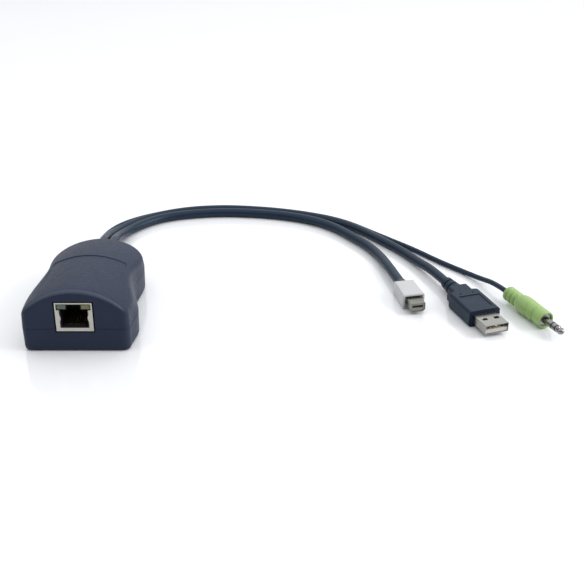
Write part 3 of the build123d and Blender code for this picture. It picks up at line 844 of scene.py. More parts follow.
class Repeat(NodeTree):
    """A Geometry Nodes tree that sets copies of a piece in a row or at marked places."""

    def __init__(self, name: str) -> None:
        """Start an empty tree.

        Args:
            name: Name of the tree.
        """
        super().__init__(bpy.data.node_groups.new(name, "GeometryNodeTree"))
        self.entry("Geometry", "Geometry")
        self.tree.interface.new_socket("Geometry", in_out="OUTPUT",
                                       socket_type="NodeSocketGeometry")
        self.entry("Piece", "Object")
        self.entry("Finish", "Material")
        self.inlet = self.node("NodeGroupInput")
        self.outlet = self.node("NodeGroupOutput")

    def entry(self, name: str, kind: str) -> None:
        """Add a named input of one kind of socket."""
        self.tree.interface.new_socket(name, in_out="INPUT", socket_type="NodeSocket" + kind)

    def close(self, points: Socket,
              turn: Socket | None = None) -> None:
        """Set the copies on points, realize them and give them their material.

        Args:
            points: Where the copies go.
            turn: Their rotation.
        """
        piece = self.node("GeometryNodeObjectInfo", transform_space="ORIGINAL")
        copies = self.node("GeometryNodeInstanceOnPoints")
        real = self.node("GeometryNodeRealizeInstances")
        paint = self.node("GeometryNodeSetMaterial")
        self.link(self.inlet.outputs["Piece"], piece.inputs["Object"])
        self.link(points, copies.inputs["Points"])
        self.link(piece.outputs["Geometry"], copies.inputs["Instance"])
        if turn is not None:
            self.link(turn, copies.inputs["Rotation"])
        self.link(copies.outputs["Instances"], real.inputs["Geometry"])
        self.link(real.outputs["Geometry"], paint.inputs["Geometry"])
        self.link(self.inlet.outputs["Finish"], paint.inputs["Material"])
        self.link(paint.outputs["Geometry"], self.outlet.inputs["Geometry"])

    def run(self, name: str, carrier: Piece, pattern: Piece,
            look: Coating, **sizes: Any) -> Piece:
        """Run the tree on a carrier and keep the result as a plain mesh.

        Args:
            name: Name of the finished piece.
            carrier: Object that holds the modifier.
            pattern: The piece that is repeated, deleted afterwards.
            look: Finish of the copies.
            sizes: Values of the named inputs.

        Returns:
            The finished object.
        """
        step = carrier.modifiers.new("repeat", "NODES")
        step.node_group = self.tree
        values = {"Piece": pattern, "Finish": material(look), **sizes}
        for item in self.tree.interface.items_tree:
            if item.in_out == "INPUT" and item.name in values:
                step[item.identifier] = values[item.name]
        settle(carrier)
        carrier.name = name
        carrier.data.name = name
        remove([pattern])
        return carrier


def row_tree() -> Repeat:
    """A tree that sets copies in a straight row, with the count, start and step as inputs.

    Returns:
        The tree.
    """
    tree = Repeat("row_of_pieces")
    line = tree.node("GeometryNodeMeshLine", mode="OFFSET")
    for name, kind, socket in (("Count", "Int", "Count"), ("Start", "Vector", "Start Location"),
                               ("Step", "Vector", "Offset")):
        tree.entry(name, kind)
        tree.link(tree.inlet.outputs[name], line.inputs[socket])
    tree.close(line.outputs["Mesh"])
    return tree


def places_tree() -> Repeat:
    """A tree that sets copies on the points of its carrier, each with its own heading.

    Returns:
        The tree.
    """
    tree = Repeat("pieces_at_places")
    turn = tree.node("GeometryNodeInputNamedAttribute", {"Name": "heading"},
                     data_type="FLOAT_VECTOR")
    spin = tree.node("FunctionNodeEulerToRotation")
    tree.link(turn.outputs["Attribute"], spin.inputs["Euler"])
    tree.close(tree.inlet.outputs["Geometry"], spin.outputs["Rotation"])
    return tree


def blank(name: str) -> Piece:
    """An empty mesh object that carries a tree."""
    return new_piece(name, [(0, 0, 0)], [])


def row(name: str, pattern: Piece, look: Coating, count: int, start: Point,
        step: Point) -> Piece:
    """Copies of a pattern in a row.

    Args:
        name: Name of the finished piece.
        pattern: The piece repeated.
        look: Its finish.
        count: Number of copies.
        start: Place of the first, in millimetres.
        step: From one to the next.

    Returns:
        The finished object.
    """
    return row_tree().run(
        name, blank(name), pattern, look, Count=count,
        Start=tuple(v * MM for v in start), Step=tuple(v * MM for v in step))


def spots(name: str, pattern: Piece, look: Coating,
          places: Sequence[tuple[float, float, float, float]]) -> Piece:
    """Copies of a pattern at (x, y, z, heading in degrees) places.

    Args:
        name: Name of the finished piece.
        pattern: The piece repeated.
        look: Its finish.
        places: Where each copy goes.

    Returns:
        The finished object.
    """
    carrier = blank(name)
    carrier.data.clear_geometry()
    carrier.data.from_pydata([tuple(v * MM for v in place[:3]) for place in places], [], [])
    heading = carrier.data.attributes.new("heading", "FLOAT_VECTOR", "POINT")
    for index, place in enumerate(places):
        heading.data[index].vector = (0.0, 0.0, math.radians(place[3]))
    return places_tree().run(name, carrier, pattern, look)


# Housing


class Skin:
    """The points and faces of a closed shell that is laid loop by loop."""

    def __init__(self) -> None:
        """Start with no points."""
        self.points: list[Any] = []
        self.faces: list[tuple[int, ...]] = []

    def add_ring(self, ring: np.ndarray) -> list[int]:
        """Add a ring of points.

        Args:
            ring: The points, once around.

        Returns:
            Their indexes.
        """
        base = len(self.points)
        self.points.extend(ring)
        return list(range(base, base + len(ring)))

    def add_grid(self, net: np.ndarray) -> list[int]:
        """Add a grid of points with its faces.

        Args:
            net: Points as rows by columns by three.

        Returns:
            Indexes of its border, once around.
        """
        rows, cols = net.shape[:2]
        marks = (len(self.points) + np.arange(rows * cols)).reshape(rows, cols).tolist()
        self.points.extend(net.reshape(-1, 3))
        for near, far in zip(marks, marks[1:]):
            self.faces += zip(near, near[1:], far[1:], far)
        right = [line[-1] for line in marks[1:-1]]
        left = [line[0] for line in marks[-2:0:-1]]
        return marks[0] + right + marks[-1][::-1] + left

    def stitch(self, first: list[int], second: list[int]) -> None:
        """Join two loops of as many points by a band of faces."""
        self.faces += zip(first, first[1:] + first[:1], second[1:] + second[:1], second)


@dataclass
class Pod:
    """The waisted housing in its two halves. Sizes in millimetres, along from its front.

    Attributes:
        length: Length of the housing.
        half_widths: Half widths at the front corner and at each of the shares.
        shares: Places along of the side's inner knots, as shares of the length.
        leans: How far each knot has moved in at lean_height.
        heel: Half width of the rear corner's knot, its distance from the rear, and its lean.
        rear_lean: How far the rear has moved in at lean_height.
        lean_height: Rise above the parting line at which the leans are stated.
        corner: Radius of the front's upright corners.
        flare: Sideways part of the side's direction at its first knot.
        parting: Height of the parting line.
        gap: Half the gap at the parting line.
        wall: Thickness of the walls.
        draft: How far the tray has moved in at the floor.
        bottom_round: Radius of the tray's bottom edge.
        crowns: Place along, height and radius of the arch at three stations.
        reach: Rise of the upper outline that the walls are drawn to.
        top_edge: Width of the rounded top edge at places along.
        inner_edge: The same for the inner skin.
        recess: Half width, start, end, corner and depth of the label field.
        recess_edge: Width of the slope at its edge.
        label_run: Length over which the label field reaches its depth.
        highlight_reach: How far behind the front the painted highlight along the arch's front
            edge ends.
        highlight_start: How far a point has to face forward and up to take part of the painted
            highlight.
        highlight_run: How much further it has to face there to have the painted highlight's full
            colour.
        seam: Width of the bevel along the parting line.
        seam_slope: Its height over its width.
        lip: Height of the tray's lip.
        tray_rows: Heights of the rows down the tray's wall.
        bend_rows: Rows round the tray's bottom edge, with both of its ends.
        screws: Places (across, along) of the case screws.
        post: Outline (height, radius) of a screw's post.
        bore: The same for its counterbore and its hole.
        screw: The same for the screw.
        sides: Faces around these three.
        columns: Distances across of the net's straight columns.
        edge_columns: Columns between the last straight one and the edge.
        corner_rows: Rows in a front corner.
        tail_start: Place along where the rows begin to bend round the rear.
        tail_rows: Rows that bend round the rear.
        straight_share: Share of the half width that the straight columns take up there.
        wall_rows: Rows up the wall.
        edge_rows: Rows over the rounded top edge, with both of its ends.
        rounds: Rounds in which the top of the walls is brought onto the arch.
    """

    length: float = 81.0
    half_widths: tuple[float, ...] = (24.0, 25.7, 20.9, 22.5, 20.6)
    shares: tuple[float, ...] = (0.185, 0.494, 0.716, 0.883)
    leans: tuple[float, ...] = (0.3, 2.6, 1.0, 1.2, 1.9)
    heel: tuple[float, float, float] = (13.6, 2.4, 2.2)
    rear_lean: float = 1.8
    lean_height: float = 9.6
    corner: float = 3.2
    flare: float = 0.08
    parting: float = 11.4
    gap: float = 0.03
    wall: float = 2.0
    draft: float = 0.3
    bottom_round: float = 1.7
    crowns: tuple[tuple[float, float, float], ...] = (
        (-2.0, 30.5, 31.0), (45.04, 26.9, 35.0), (83.0, 19.6, 40.0))
    top_edge: tuple[tuple[float, float], ...] = (
        (0.0, 2.4), (3.0, 2.4), (10.0, 2.4), (22.0, 2.5), (47.0, 2.5), (58.0, 2.2),
        (68.0, 1.4), (81.0, 1.1))
    inner_edge: float = 0.3
    reach: float = 21.1
    recess: tuple[float, float, float, float, float] = (17.3, 3.4, 45.04, 1.2, 0.4)
    recess_edge: float = 0.24
    label_run: float = 34.0
    # Reach and thresholds of the painted highlight along the front arch.
    highlight_reach: float = 5.0
    highlight_start: float = 0.25
    highlight_run: float = 0.6
    seam: float = 0.16
    seam_slope: float = 1.4
    lip: float = 1.27
    tray_rows: tuple[float, ...] = (9.0, 6.5, 4.2)
    bend_rows: int = 9
    screws: Profile = (
        (17.2, 11.5), (-17.2, 11.5), (16.0, 56.54), (-16.0, 56.54))
    post: Profile = ((1.0, 0), (1.0, 3.2), (8.7, 3.2), (8.7, 0))
    bore: Profile = (
        (-2.0, 0), (-2.0, 2.85), (-0.001, 2.85), (0.3, 2.55), (3.0, 2.55), (3.0, 1.45),
        (12.0, 1.45), (12.0, 0))
    screw: Profile = (
        (1.3, 0), (1.3, 1.7), (1.42, 2.05), (1.75, 2.25), (2.4, 2.3), (3.0, 2.3), (3.0, 1.2),
        (16.8, 1.2), (17.2, 0.8), (17.2, 0))
    sides: int = 40
    columns: list[float] = field(default_factory=lambda: [
        0.0, 1.6, 3.2, 4.8, 6.4, 8.0, 9.6, 11.2, 12.8, 14.2, 15.3, 16.0, 16.4, 16.7, 16.95,
        17.15, 17.3, 17.45, 17.65])
    edge_columns: int = 4
    corner_rows: int = 5
    tail_start: float = 62.0
    tail_rows: int = 12
    straight_share: float = 0.86
    wall_rows: int = 6
    edge_rows: int = 8
    rounds: int = 60

    def rows(self) -> list[float]:
        """Distances along of the straight rows, close together at the label field's ends.

        Returns:
            The distances, from the front.
        """
        near = [3.27, 3.36, 3.45, 3.56, 3.7, 3.95, 4.3, 4.8, 5.6]
        far = [42.8, 43.7, 44.2, 44.5, 44.75, 44.9, 45.04, 45.2, 45.4, 45.8, 46.6]
        middle = list(np.linspace(5.6, 42.8, 25)[1:-1])
        tail = list(np.linspace(46.6, self.tail_start, 10)[1:])
        return near + middle + far + tail

    def knots(self, rise: float, inset: float) -> tuple[np.ndarray, np.ndarray, np.ndarray]:
        """Knots and end directions of one side of the outline.

        Args:
            rise: Height above the parting line.
            inset: How far inside the outer wall.

        Returns:
            The knots, and the unit directions at the first and the last of them.
        """
        share = rise / self.lean_height
        rear = self.length - self.rear_lean * share - inset
        corner = max(self.corner - inset, self.wall / 4)
        places = [inset + corner] + [part * self.length for part in self.shares]
        points = [(width - lean * share - inset, along)
                  for width, lean, along in zip(self.half_widths, self.leans, places)]
        points.append((self.heel[0] - self.heel[2] * share - inset, rear - self.heel[1]))
        points.append((0.0, rear))
        start = np.array([self.flare, 1.0])
        return np.array(points), start / np.linalg.norm(start), np.array([-1.0, 0.0])

    def marks(self) -> tuple[np.ndarray, float]:
        """Where the rows meet the side curve, and where its rear corner turns.

        Returns:
            A place on the curve for each row, and one for the corner, from 0 to 1.
        """
        fine = np.linspace(0, 1, 4001)
        line = spline(*self.knots(0.0, 0.0), fine)
        steps = np.diff(line, axis=0)
        turn = np.argmax((-steps[:, 0] > steps[:, 1]) & (line[:-1, 1] > self.tail_start))
        order = np.interp(self.rows(), line[:turn, 1], fine[:turn])
        return order, float(fine[turn])

    def ring(self, rise: float, inset: float) -> np.ndarray:
        """The outline at a rise above the parting line, inset inside.

        Args:
            rise: Height above the parting line.
            inset: How far inside the outer wall.

        Returns:
            Points (across, along), once around from the front's left end.
        """
        order, turn = self.marks()
        points, start, end = self.knots(rise, inset)
        corner = points[0, 1] - inset
        flat = points[0, 0] - corner
        last = self.columns[-1]
        scale = min(1.0, (flat - 0.4) / last)
        inner = [value * scale for value in self.columns]
        outer = list(np.linspace(inner[-1], flat, self.edge_columns + 1)[1:])
        front = np.array([(x, inset) for x in inner + outer])
        angles = np.linspace(0, math.pi / 2, self.corner_rows + 1)[1:]
        arc = np.array([(flat + corner * math.sin(a), inset + corner - corner * math.cos(a))
                        for a in angles])
        tail = np.linspace(order[-1], turn, self.tail_rows + 1)[1:-1]
        side = np.vstack([arc, spline(points, start, end, np.concatenate([order, tail]))])
        across = self.across()
        rear = spline(points, start, end, 1 - (1 - turn) * across)
        mirror = np.array([-1.0, 1.0])
        return np.vstack([
            front[:0:-1] * mirror, front, side, rear[::-1], rear[1:] * mirror,
            side[::-1] * mirror])

    def across(self) -> np.ndarray:
        """Share of the half width at which each column stands in the rear row.

        Returns:
            The shares, from the middle.
        """
        inner = np.array(self.columns) / self.columns[-1] * self.straight_share
        outer = np.linspace(self.straight_share, 1.0, self.edge_columns + 1)[1:]
        return np.concatenate([inner, outer])

    def net(self, edge: np.ndarray) -> np.ndarray:
        """Fill an edge ring with a grid of points.

        Args:
            edge: Ring of (across, along) points.

        Returns:
            Points as rows by columns by two.
        """
        half = len(self.columns) - 1 + self.edge_columns
        straight = self.corner_rows + len(self.rows())
        count = straight + self.tail_rows
        front = edge[half:2 * half + 1]
        right = edge[2 * half + 1:2 * half + count]
        rear = edge[2 * half + count:3 * half + count + 1][::-1]
        last = len(self.columns) - 1
        targets = [None] * self.corner_rows + self.rows()
        grid = np.zeros((count + 1, half + 1, 2))
        grid[0] = front
        for index in range(1, straight + 1):
            end = right[index - 1]
            target = targets[index - 1]
            along = end[1] if target is None else target
            scale = min(1.0, (end[0] - 0.5) / self.columns[-1])
            grid[index, :last + 1, 0] = np.array(self.columns) * scale
            grid[index, :last + 1, 1] = along
            share = np.linspace(0, 1, self.edge_columns + 1)[1:]
            grid[index, last + 1:, 0] = grid[index, last, 0] * (1 - share) + end[0] * share
            grid[index, last + 1:, 1] = along * (1 - share) + end[1] * share
        base = grid[straight]
        part = self.across()[:, None]
        for index in range(straight + 1, count + 1):
            share = (index - straight) / self.tail_rows
            flow = (1 - share) * base + share * rear
            side = right[index - 1] if index < count else rear[-1]
            grid[index] = flow + part * (side - flow[-1])
        grid[count] = rear
        mirrored = grid[:, :0:-1] * np.array([-1.0, 1.0])
        return np.concatenate([mirrored, grid], axis=1)

    def crown(self, points: np.ndarray, drop: float) -> np.ndarray:
        """Height of the arched top over points.

        Args:
            points: Points (across, along).
            drop: How far below the outer skin.

        Returns:
            One height for each point.
        """
        x, y = points[..., 0], points[..., 1]
        places = [crown[0] for crown in self.crowns]
        total = np.zeros_like(x)
        for index, (place, top, radius) in enumerate(self.crowns):
            weight = np.ones_like(x)
            for other, spot in enumerate(places):
                if other != index:
                    weight = weight * (y - spot) / (place - spot)
            total += weight * (top - radius + np.sqrt(radius ** 2 - x ** 2))
        return total - drop

    def sunk(self, points: np.ndarray) -> np.ndarray:
        """Depth of the label field at points.

        Args:
            points: Points (across, along).

        Returns:
            One depth for each point.
        """
        half, start, end, corner, depth = self.recess
        dx = np.abs(points[..., 0]) - (half - corner)
        dy = np.abs(points[..., 1] - (start + end) / 2) - ((end - start) / 2 - corner)
        away = np.hypot(np.maximum(dx, 0), np.maximum(dy, 0)) + np.minimum(
            np.maximum(dx, dy), 0) - corner
        share = np.clip(0.5 - away / self.recess_edge, 0, 1)
        run = np.clip((points[..., 1] - start) / self.label_run, 0, 1)
        return depth * ease(share) * ease(run)

    @staticmethod
    def inward(ring: np.ndarray) -> np.ndarray:
        """Unit directions that point inside a ring.

        Args:
            ring: The points, once around.

        Returns:
            One direction for each point.
        """
        run = np.roll(ring, -1, axis=0) - np.roll(ring, 1, axis=0)
        run /= np.linalg.norm(run, axis=1)[:, None]
        return np.stack([-run[:, 1], run[:, 0]], axis=1)

    def weave(self, rings: list[np.ndarray], grid: np.ndarray,
              inside: tuple[list[np.ndarray], np.ndarray]) -> tuple[list[Any], list[Any]]:
        """Points and faces of a shell with a wall: rings and a grid outside, and inside.

        Args:
            rings: Outer rings of points, the last next to the grid.
            grid: The outer grid's points.
            inside: Rings that lead on from the first outer ring, and their closing grid.

        Returns:
            Points and faces.
        """
        skin = Skin()
        outer = [skin.add_ring(ring) for ring in rings] + [skin.add_grid(grid)]
        inner = [skin.add_ring(ring) for ring in inside[0]] + [skin.add_grid(inside[1])]
        loops = inner[::-1] + outer
        for first, second in zip(loops, loops[1:]):
            skin.stitch(first, second)
        return skin.points, skin.faces

    def raised(self, flat: np.ndarray, height: np.ndarray | float) -> np.ndarray:
        """Flat points with a height added."""
        level = np.broadcast_to(height, flat.shape[:-1])
        return np.concatenate([flat, level[..., None]], axis=-1) + np.array([0, FRONT_Y, 0])

    def cap(self, inset: float, drop: float, outer: bool) -> tuple[list[np.ndarray], np.ndarray]:
        """Rings and grid of the arched top at an inset.

        Args:
            inset: How far inside the outer wall.
            drop: How far below the outer crown.
            outer: True for the outer skin, with its rounded edge and label field.

        Returns:
            Rings from the parting line up, and the grid of the top.
        """
        low = self.ring(0.0, inset)
        slope = (self.ring(self.reach, inset) - low) / self.reach
        level = np.full(len(low), self.parting + self.reach / 2)
        for _ in range(self.rounds):
            spot = low + slope * (level - self.parting)[:, None]
            level = 0.5 * level + 0.5 * self.crown(spot, drop)
        edge = np.full(len(low), self.inner_edge)
        if outer:
            edge = np.interp(spot[:, 1], *zip(*self.top_edge))
        below = level - edge
        foot = low + slope * (below - self.parting)[:, None]
        inner = spot + self.inward(spot) * edge[:, None]
        top = self.crown(inner, drop)
        rings = []
        start = self.parting + self.gap
        if outer:
            rings.append(self.raised(low + self.inward(low) * self.seam, start))
            start += self.seam_slope * self.seam
        for share in np.linspace(0, 1, self.wall_rows):
            height = start + (below - start) * share
            rings.append(self.raised(low + slope * (height - self.parting)[:, None], height))
        if outer:
            for t in np.linspace(0, 1, self.edge_rows)[1:-1]:
                flat = ((1 - t) ** 2 * foot + 2 * t * (1 - t) * spot + t * t * inner)
                height = (1 - t) ** 2 * below + 2 * t * (1 - t) * level + t * t * top
                rings.append(self.raised(flat, height))
        net = self.net(inner)
        height = self.crown(net, drop)
        if outer:
            height = height - self.sunk(net)
        return rings, self.raised(net, height)

    def mark_rim_highlight(self, piece: Piece) -> None:
        """Mark the points of the front arch that face forward and up, where a highlight is
        painted into the colour.

        Args:
            piece: The upper half.
        """
        marks = piece.data.attributes.new("rim_highlight", "FLOAT", "POINT")
        for vertex, highlight_mark in zip(piece.data.vertices, marks.data):
            # Points near the front that face forward and up get the painted highlight's mark.
            if vertex.co.y < (FRONT_Y + self.highlight_reach) * MM:
                facing = 2 * max(-vertex.normal.y, 0.0) * max(vertex.normal.z, 0.0)
                highlight_mark.value = ease(min(max((facing - self.highlight_start) / self.highlight_run, 0.0), 1.0))

    def upper(self) -> None:
        """Build the arched top half."""
        rings, top = self.cap(0.0, 0.0, True)
        inner = self.cap(self.wall, self.wall, False)
        piece = new_piece("pod_top", *self.weave(rings, top, inner))
        cut(piece, [self.socket_hole(), self.gland_hole()])
        self.mark_rim_highlight(piece)
        dress(smooth(piece, SHELL_SHARP), PALETTE.housing, "upper_housing")

    def tray_ring(self, height: float, inset: float) -> np.ndarray:
        """The tray's outline at a height, inset inside its drafted wall.

        Args:
            height: Height above the ground.
            inset: How far inside.

        Returns:
            Points (x, y, z), once around.
        """
        wide = self.ring(0.0, 0.0)
        line = wide + (self.ring(0.0, self.draft) - wide) * (1 - height / self.parting)
        return self.raised(line + self.inward(line) * inset, height)

    def lower(self) -> None:
        """Build the bottom tray with its lip, screw posts and counterbores."""
        top = self.parting - self.gap
        rings = [self.tray_ring(top, self.seam)]
        heights = (top - self.seam_slope * self.seam, *self.tray_rows)
        rings += [self.tray_ring(height, 0.0) for height in heights]
        bend = self.bottom_round
        for angle in np.linspace(0, math.pi / 2, self.bend_rows)[:-1]:
            rings.append(self.tray_ring(bend * (1 - math.sin(angle)),
                                        bend * (1 - math.cos(angle))))
        edge = self.tray_ring(0.0, bend)[:, :2] - np.array([0, FRONT_Y])
        base = self.raised(self.net(edge), 0.0)
        inner = [self.raised(self.ring(rise, self.wall + inset), height)
                 for rise, inset, height in (
                     (0.0, 0.12, top), (self.lip, 0.12, top + self.lip),
                     (self.lip, 0.9, top + self.lip), (0.0, 0.9, top - 2.0),
                     (0.0, 0.0, top - 2.2), (0.0, 0.74, self.wall))]
        floor = self.raised(self.net(self.ring(0.0, self.wall + 1.0)), self.wall)
        piece = new_piece("pod_base", *self.weave(rings, base, (inner, floor)))
        posts, holes = [], []
        for across, along in self.screws:
            place = Matrix.Translation(Vector((across, along + FRONT_Y, 0.0)) * MM)
            for name, form, tools in (("post", self.post, posts), ("hole", self.bore, holes)):
                tools.append(shift(turned(name, form, 0.0, self.sides), place @ UPRIGHT))
        cut(piece, posts, "UNION")
        cut(piece, holes + [self.socket_hole(), self.gland_hole()])
        dress(smooth(piece, SHELL_SHARP), PALETTE.housing, "lower_housing")

    def socket_hole(self) -> Piece:
        """The hole in the front wall around the socket."""
        return box("socket_hole", (-8.9, FRONT_Y - 3, 9.7), (8.9, FRONT_Y + 4, 24.9))

    def gland_hole(self) -> Piece:
        """The hole in the rear wall around the gland's neck."""
        return prism("gland_hole", rounded(14.2, 11.8, 3.1, self.parting),
                     FRONT_Y + 74.0, FRONT_Y + 86.0)

    def fixings(self) -> None:
        """Build the four case screws, seen at the bottom of their counterbores."""
        screw = shift(turned("screw", self.screw, 0.0, self.sides), UPRIGHT)
        slots = [box("slot", (-1.5, -0.3, 1.0), (1.5, 0.3, 2.1)),
                 box("slot", (-0.3, -1.5, 1.0), (0.3, 1.5, 2.1))]
        cut(screw, slots)
        places = [(x, y + FRONT_Y, 0.0, 20.0 + 33.0 * i) for i, (x, y) in enumerate(self.screws)]
        piece = spots("fixings", screw, PALETTE.screw, places)
        dress(smooth(piece), PALETTE.screw, "case_screws")

    def build(self) -> None:
        """Build both halves and the screws."""
        self.upper()
        self.lower()
        self.fixings()


# Network socket


@dataclass
class NetworkSocket:
    """The shielded socket in the front face. Sizes in millimetres."""

    contact_count: int = 8
    pitch: float = 1.02
    wire: float = 0.46
    thickness: float = 0.28
    run: Profile = (
        (2.9, 12.34), (4.2, 12.34), (4.7, 12.46), (5.2, 12.72), (10.4, 15.25), (10.9, 15.42),
        (11.3, 15.40))

    def contact(self) -> Piece:
        """One contact, a flat wire that rises toward the rear with a rounded bend.

        Returns:
            The pattern object.
        """
        upper = [(along, height + self.thickness) for along, height in self.run]
        return ribbon("contact", [
            [(x, along + FRONT_Y, height) for along, height in (*self.run, *upper[::-1])]
            for x in (-self.wire / 2, self.wire / 2)])

    def build(self) -> None:
        """Build the socket's pieces."""
        remake("socket_shield", "tin_shield", PALETTE.shield, 0.09)
        remake("socket_insert", "socket_core", PALETTE.socket, 0.12)
        start = -(self.contact_count - 1) / 2 * self.pitch
        wires = row("gold_contacts", self.contact(), PALETTE.gold, self.contact_count,
                    (start, 0, 0), (self.pitch, 0, 0))
        dress(smooth(wires), PALETTE.gold, "socket_contacts")
        for side, look in ((Side.LEFT, PALETTE.green_light), (Side.RIGHT, PALETTE.amber_light)):
            remake(f"{side.value}_link_light", f"{side.value}_light_pipe", look, 0.12)


# Circuit board


@dataclass(frozen=True)
class Chip:
    """A moulded chip on the board, in millimetres, at (x, along) of its middle."""

    node: str
    x: float
    along: float
    width: float
    length: float
    height: float
    pitch: float = 1.27


@dataclass
class CircuitBoard:
    """The board, its chips and the parts around them."""

    top: float = 10.3
    lead_width: float = 0.32
    lead_thickness: float = 0.12
    lead_bend: float = 0.1
    dimple_inset: float = 1.1
    dimple_depth: float = 0.12
    chips: tuple[Chip, ...] = (
        Chip("network_transformer", 0.0, 29.99, 16.0, 9.6, 5.8),
        Chip("main_processor", 5.6, 46.02, 14.0, 14.0, 1.4),
        Chip("video_receiver", -9.6, 44.5, 9.0, 9.0, 1.0),
        Chip("usb_controller", -5.8, 53.59, 5.0, 5.0, 0.9),
    )

    def body(self, chip: Chip) -> Piece:
        """A chip's body with drafted sides and a dimple at its first lead.

        Args:
            chip: The chip.

        Returns:
            The object.
        """
        rings = [(0.15, 0.10), (0.0, 0.45 * chip.height), (0.0, 0.55 * chip.height),
                 (0.22, chip.height)]
        points = []
        for inset, height in rings:
            for sx, sy in ((-1, -1), (1, -1), (1, 1), (-1, 1)):
                points.append((chip.x + sx * (chip.width / 2 - inset),
                               FRONT_Y + chip.along + sy * (chip.length / 2 - inset),
                               self.top + height))
        faces: list[Any] = [(0, 1, 2, 3), (12, 13, 14, 15)]
        for level in range(3):
            for i in range(4):
                k = (i + 1) % 4
                faces.append((4 * level + i, 4 * level + k, 4 * level + 4 + k,
                              4 * level + 4 + i))
        piece = new_piece(chip.node + "_body", points, faces)
        dimple = turned("dimple", [(0, 0), (0, 0.4), (1, 0.4), (1, 0)], 0.0, 24)
        shift(dimple, Matrix.Translation(Vector((
            chip.x - chip.width / 2 + self.dimple_inset,
            FRONT_Y + chip.along - chip.length / 2 + self.dimple_inset,
            self.top + chip.height - self.dimple_depth)) * MM) @ UPRIGHT)
        return eased(cut(piece, [dimple]), 0.06)

    def lead(self, chip: Chip) -> Piece:
        """One bent lead, pointing toward +X from the chip's middle.

        Args:
            chip: The chip.

        Returns:
            The pattern object.
        """
        half = chip.width / 2
        knee = 0.5 * chip.height
        line = [(half - 0.1, knee), (half + 0.25, knee), (half + 0.5, 0.06), (half + 1.0, 0.03)]
        upper = [(x + (self.lead_bend if 0 < i < 3 else 0.0), z + self.lead_thickness)
                 for i, (x, z) in enumerate(line)]
        return ribbon("lead", [[(x, y, z) for x, z in line + upper[::-1]]
                               for y in (-self.lead_width / 2, self.lead_width / 2)])

    def mount(self, chip: Chip) -> None:
        """Build one chip's body and its leads as two pieces.

        Args:
            chip: The chip.
        """
        count = int((chip.length - chip.pitch) / chip.pitch)
        places = []
        for index in range(count):
            along = chip.along + (index - (count - 1) / 2) * chip.pitch
            for heading in (0.0, 180.0):
                places.append((chip.x, along + FRONT_Y, self.top, heading))
        leads = spots(chip.node + "_leads", self.lead(chip), PALETTE.can, places)
        dress(smooth(leads), PALETTE.can)
        dress(smooth(self.body(chip)), PALETTE.chip, chip.node)

    def build(self) -> None:
        """Build the board and what stands on it."""
        remake("circuit_board", "board", PALETTE.board, 0.08)
        for chip in self.chips:
            self.mount(chip)
        plain = (
            ("clock_crystal", PALETTE.can, 0.7), ("power_inductor", PALETTE.ferrite, 0.8),
            ("filter_capacitors", PALETTE.can, 0.35), ("video_header", PALETTE.header, 0.15),
            ("usb_header", PALETTE.header, 0.15), ("audio_header", PALETTE.header, 0.15),
        )
        for node, look, edge in plain:
            remake(node, node + "_part", look, edge)


# Plugs


@dataclass
class Plug:
    """A plug that lies on the floor. Its own +Y runs back from its front to the cable."""

    x: float
    behind: float
    heading: float
    height: float

    def lay(self, piece: Piece) -> Piece:
        """Move a piece from the plug's own axes to where the plug lies."""
        place = Matrix.Translation(Vector((self.x, GLAND_Y + self.behind, 0.0)) * MM)
        return shift(piece, place @ Matrix.Rotation(math.radians(self.heading), 4, "Z"))

    def spun(self, name: str, profile: Profile, look: Coating, node: str,
             angle: float = SHELL_SHARP, segments: int = 72) -> Piece:
        """A finished turned piece on the plug's axis, in place of a CAD node."""
        piece = self.lay(turned(name, profile, self.height, segments))
        return dress(smooth(piece, angle), look, node)


@dataclass
class VideoPlug(Plug):
    """The small white video plug."""

    x: float = 154.2
    behind: float = -41.2
    heading: float = 12.5
    height: float = 3.9
    contact_count: int = 10
    pitch: float = 0.5
    slot_drop: float = -0.3
    slot_height: float = 1.18
    contact_front: float = -5.9
    boot: Profile = (
        (14.5, 0), (14.5, 3.6), (16.0, 3.6), (16.3, 3.52), (18.6, 3.05), (20.1, 2.78),
        (20.5, 2.66), (20.6, 2.5), (20.6, 0))

    def contacts(self) -> Piece:
        """Two rows of contacts on the floor and roof of the slot.

        Returns:
            The contacts as one object.
        """
        floor = self.height + self.slot_drop
        places = []
        for index in range(self.contact_count):
            x = (index - (self.contact_count - 1) / 2) * self.pitch
            for base in (floor, floor + self.slot_height):
                places.append((x, self.contact_front, base, 0.0))
        blade = box("blade", (-0.12, 0.0, 0.0), (0.12, 4.4, 0.12))
        return self.lay(spots("video_contacts", blade, PALETTE.gold, places))

    def build(self) -> list[Piece]:
        """Build the plug's pieces.

        Returns:
            The pieces.
        """
        return [
            remake("video_plug_body", "video_grip", PALETTE.video_grip, 0.12, GRIP_SHARP),
            remake("video_plug_collar", "video_collar", PALETTE.collar, 0.1),
            remake("video_plug_shell", "video_shell", PALETTE.video_metal, 0.06),
            remake("video_plug_insulator", "video_core", PALETTE.video_core, 0.08),
            dress(smooth(self.contacts()), PALETTE.gold, "video_plug_contacts"),
            self.spun("video_boot", self.boot, PALETTE.boot, "video_plug_boot", GRIP_SHARP),
        ]


